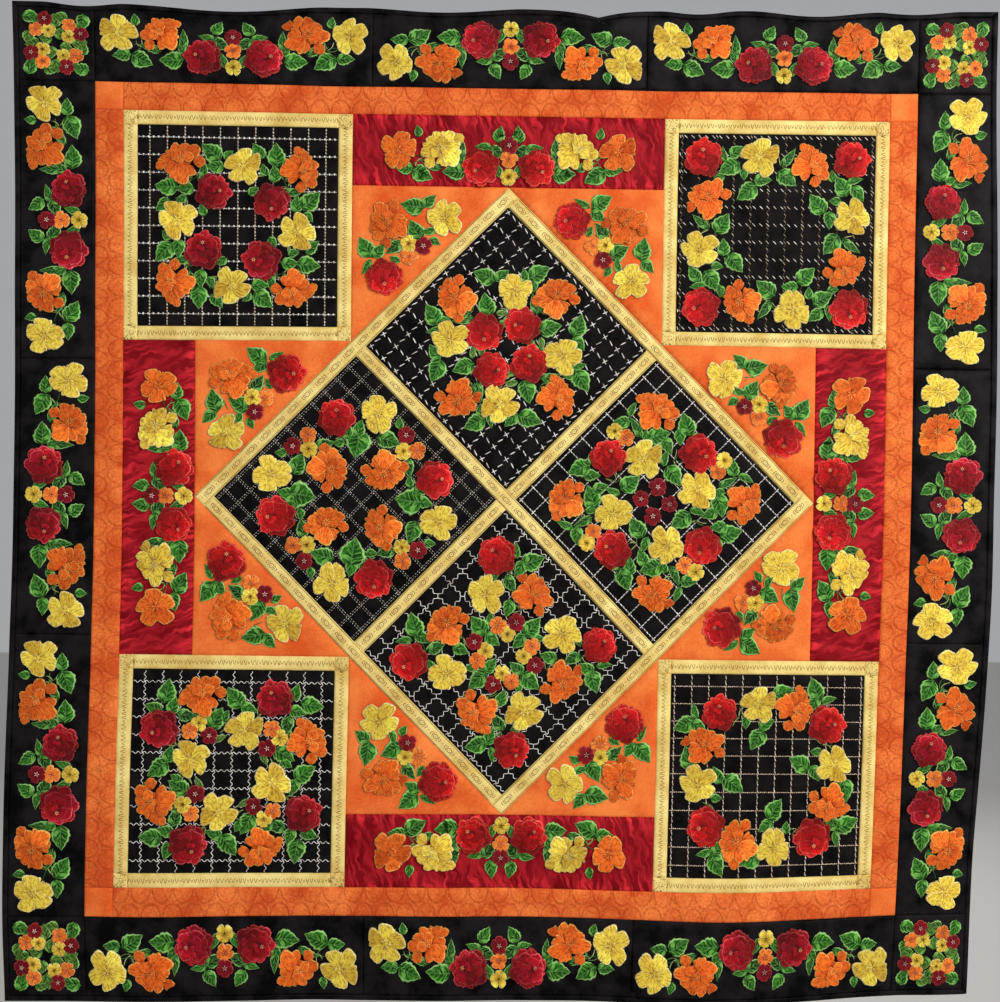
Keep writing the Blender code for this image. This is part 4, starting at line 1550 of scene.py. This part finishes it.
def backStitches():
    # Running stitches on the back, along the seams, for one quarter turned round four times
    low, high = blockMiddle - quilt["blockSide"] / 2, blockMiddle + quilt["blockSide"] / 2
    seams = (
        (-halfPanel, halfPanel, halfPanel, halfPanel),
        (-halfOrange, halfOrange, halfOrange, halfOrange),
        (0, halfDiamond, halfDiamond, 0), (0, 0, halfDiamond / 2, halfDiamond / 2),
        (-halfOpen, halfDiamond, halfOpen, halfDiamond), (halfOpen, halfOpen, halfPanel, halfOpen),
        (halfOpen, halfOpen, halfOpen, halfPanel), (low, low, high, low), (high, low, high, high),
        (high, high, low, high), (low, high, low, low))
    rows = []
    for x0, z0, x1, z1 in seams:
        line = strokeLine(7, ((1.0, 0, 5.8, 0, 1.3),), math.dist((x0, z0), (x1, z1)))
        middle = np.array([x0 + x1, z0 + z1]) / 2
        rows.append(turned(line, math.atan2(z1 - z0, x1 - x0)) + (*middle, *middle, 0))
    rows = np.concatenate(rows)
    whole = joined([dashes(turned(rows, k * quarter), 0.4, shade(150, 146, 152), 30 + k)
                    for k in range(4)])
    x, z, height = whole["flat"].T
    piece = buildPiece("stitches_back", hang(x, z, -quilt["thick"] / 2 - height),
                       [part[:, ::-1] for part in whole["faces"]], [looks["thread"]],
                       uv=whole["uv"], tint=whole["tint"])


backStitches()
print("back stitched")


# Room, lights and camera

room = {
    "floorHeight": -1.55, "floorReach": 6, "floorColour": shade(206, 203, 198),
    "worldColour": (0.80, 0.82, 0.85), "worldStrength": 0.45,
}

lamps = (
    # place, aim, width, height, power, colour
    ((1.65, -2.15, 0.45), (0, 0, -0.65), 1.4, 1.0, 65, (1.0, 0.98, 0.94)),
    ((-1.9, -1.9, 0.1), (0, 0, -0.65), 1.4, 1.4, 9, (0.95, 0.97, 1.0)),
    ((0.3, 2.4, 0.1), (0, 0, -0.6), 1.4, 1.4, 26, (1.0, 0.99, 0.97)),
)

camera = {
    "place": (-0.063, -1.729, -0.587), "yaw": 0.0335, "pitch": -0.012, "roll": 0.014,
    "lens": 50, "sensor": 36,
}


def layFloor():
    mesh = bpy.data.meshes.new("floor")
    reach, level = room["floorReach"], room["floorHeight"]
    corners = ((-1, -1), (1, -1), (1, 1), (-1, 1))
    mesh.from_pydata([(x * reach, y * reach, level) for x, y in corners], [], [(0, 1, 2, 3)])
    surface = bpy.data.materials.new("floor")
    surface.use_nodes = True
    shader = surface.node_tree.nodes["Principled BSDF"]
    shader.inputs["Base Color"].default_value = (*room["floorColour"], 1)
    shader.inputs["Roughness"].default_value = 0.9
    mesh.materials.append(surface)
    floor = bpy.data.objects.new("floor", mesh)
    bpy.context.scene.collection.objects.link(floor)


def hangLamps():
    for i, (place, aim, width, height, power, colour) in enumerate(lamps):
        light = bpy.data.lights.new(f"lamp_{i}", "AREA")
        light.shape = "RECTANGLE"
        light.size, light.size_y = width, height
        light.energy = power
        light.color = colour
        lamp = bpy.data.objects.new(f"lamp_{i}", light)
        bpy.context.scene.collection.objects.link(lamp)
        lamp.visible_camera = False
        lamp.location = place
        lamp.rotation_euler = (Vector(aim) - Vector(place)).to_track_quat("-Z", "Y").to_euler()
    world = bpy.data.worlds.new("studio")
    world.use_nodes = True
    sky = world.node_tree.nodes["Background"]
    sky.inputs["Color"].default_value = (*room["worldColour"], 1)
    sky.inputs["Strength"].default_value = room["worldStrength"]
    bpy.context.scene.world = world


def placeCamera():
    lens = bpy.data.cameras.new("camera")
    lens.lens = camera["lens"]
    lens.sensor_fit = "VERTICAL"
    lens.sensor_height = camera["sensor"]
    lens.clip_start = 0.05
    view = bpy.data.objects.new("camera", lens)
    bpy.context.scene.collection.objects.link(view)
    view.matrix_world = (
        Matrix.Translation(camera["place"]) @ Matrix.Rotation(-camera["yaw"], 4, "Z")
        @ Matrix.Rotation(math.pi / 2 + camera["pitch"], 4, "X")
        @ Matrix.Rotation(camera["roll"], 4, "Z"))
    bpy.context.scene.camera = view


layFloor()
hangLamps()
placeCamera()
bpy.context.scene.view_settings.view_transform = "Standard"
print("room ready")

count = sum(len(row.vertices) - 2 for piece in bpy.context.scene.objects if piece.type == "MESH"
            for row in piece.data.polygons)
print("triangles:", count)
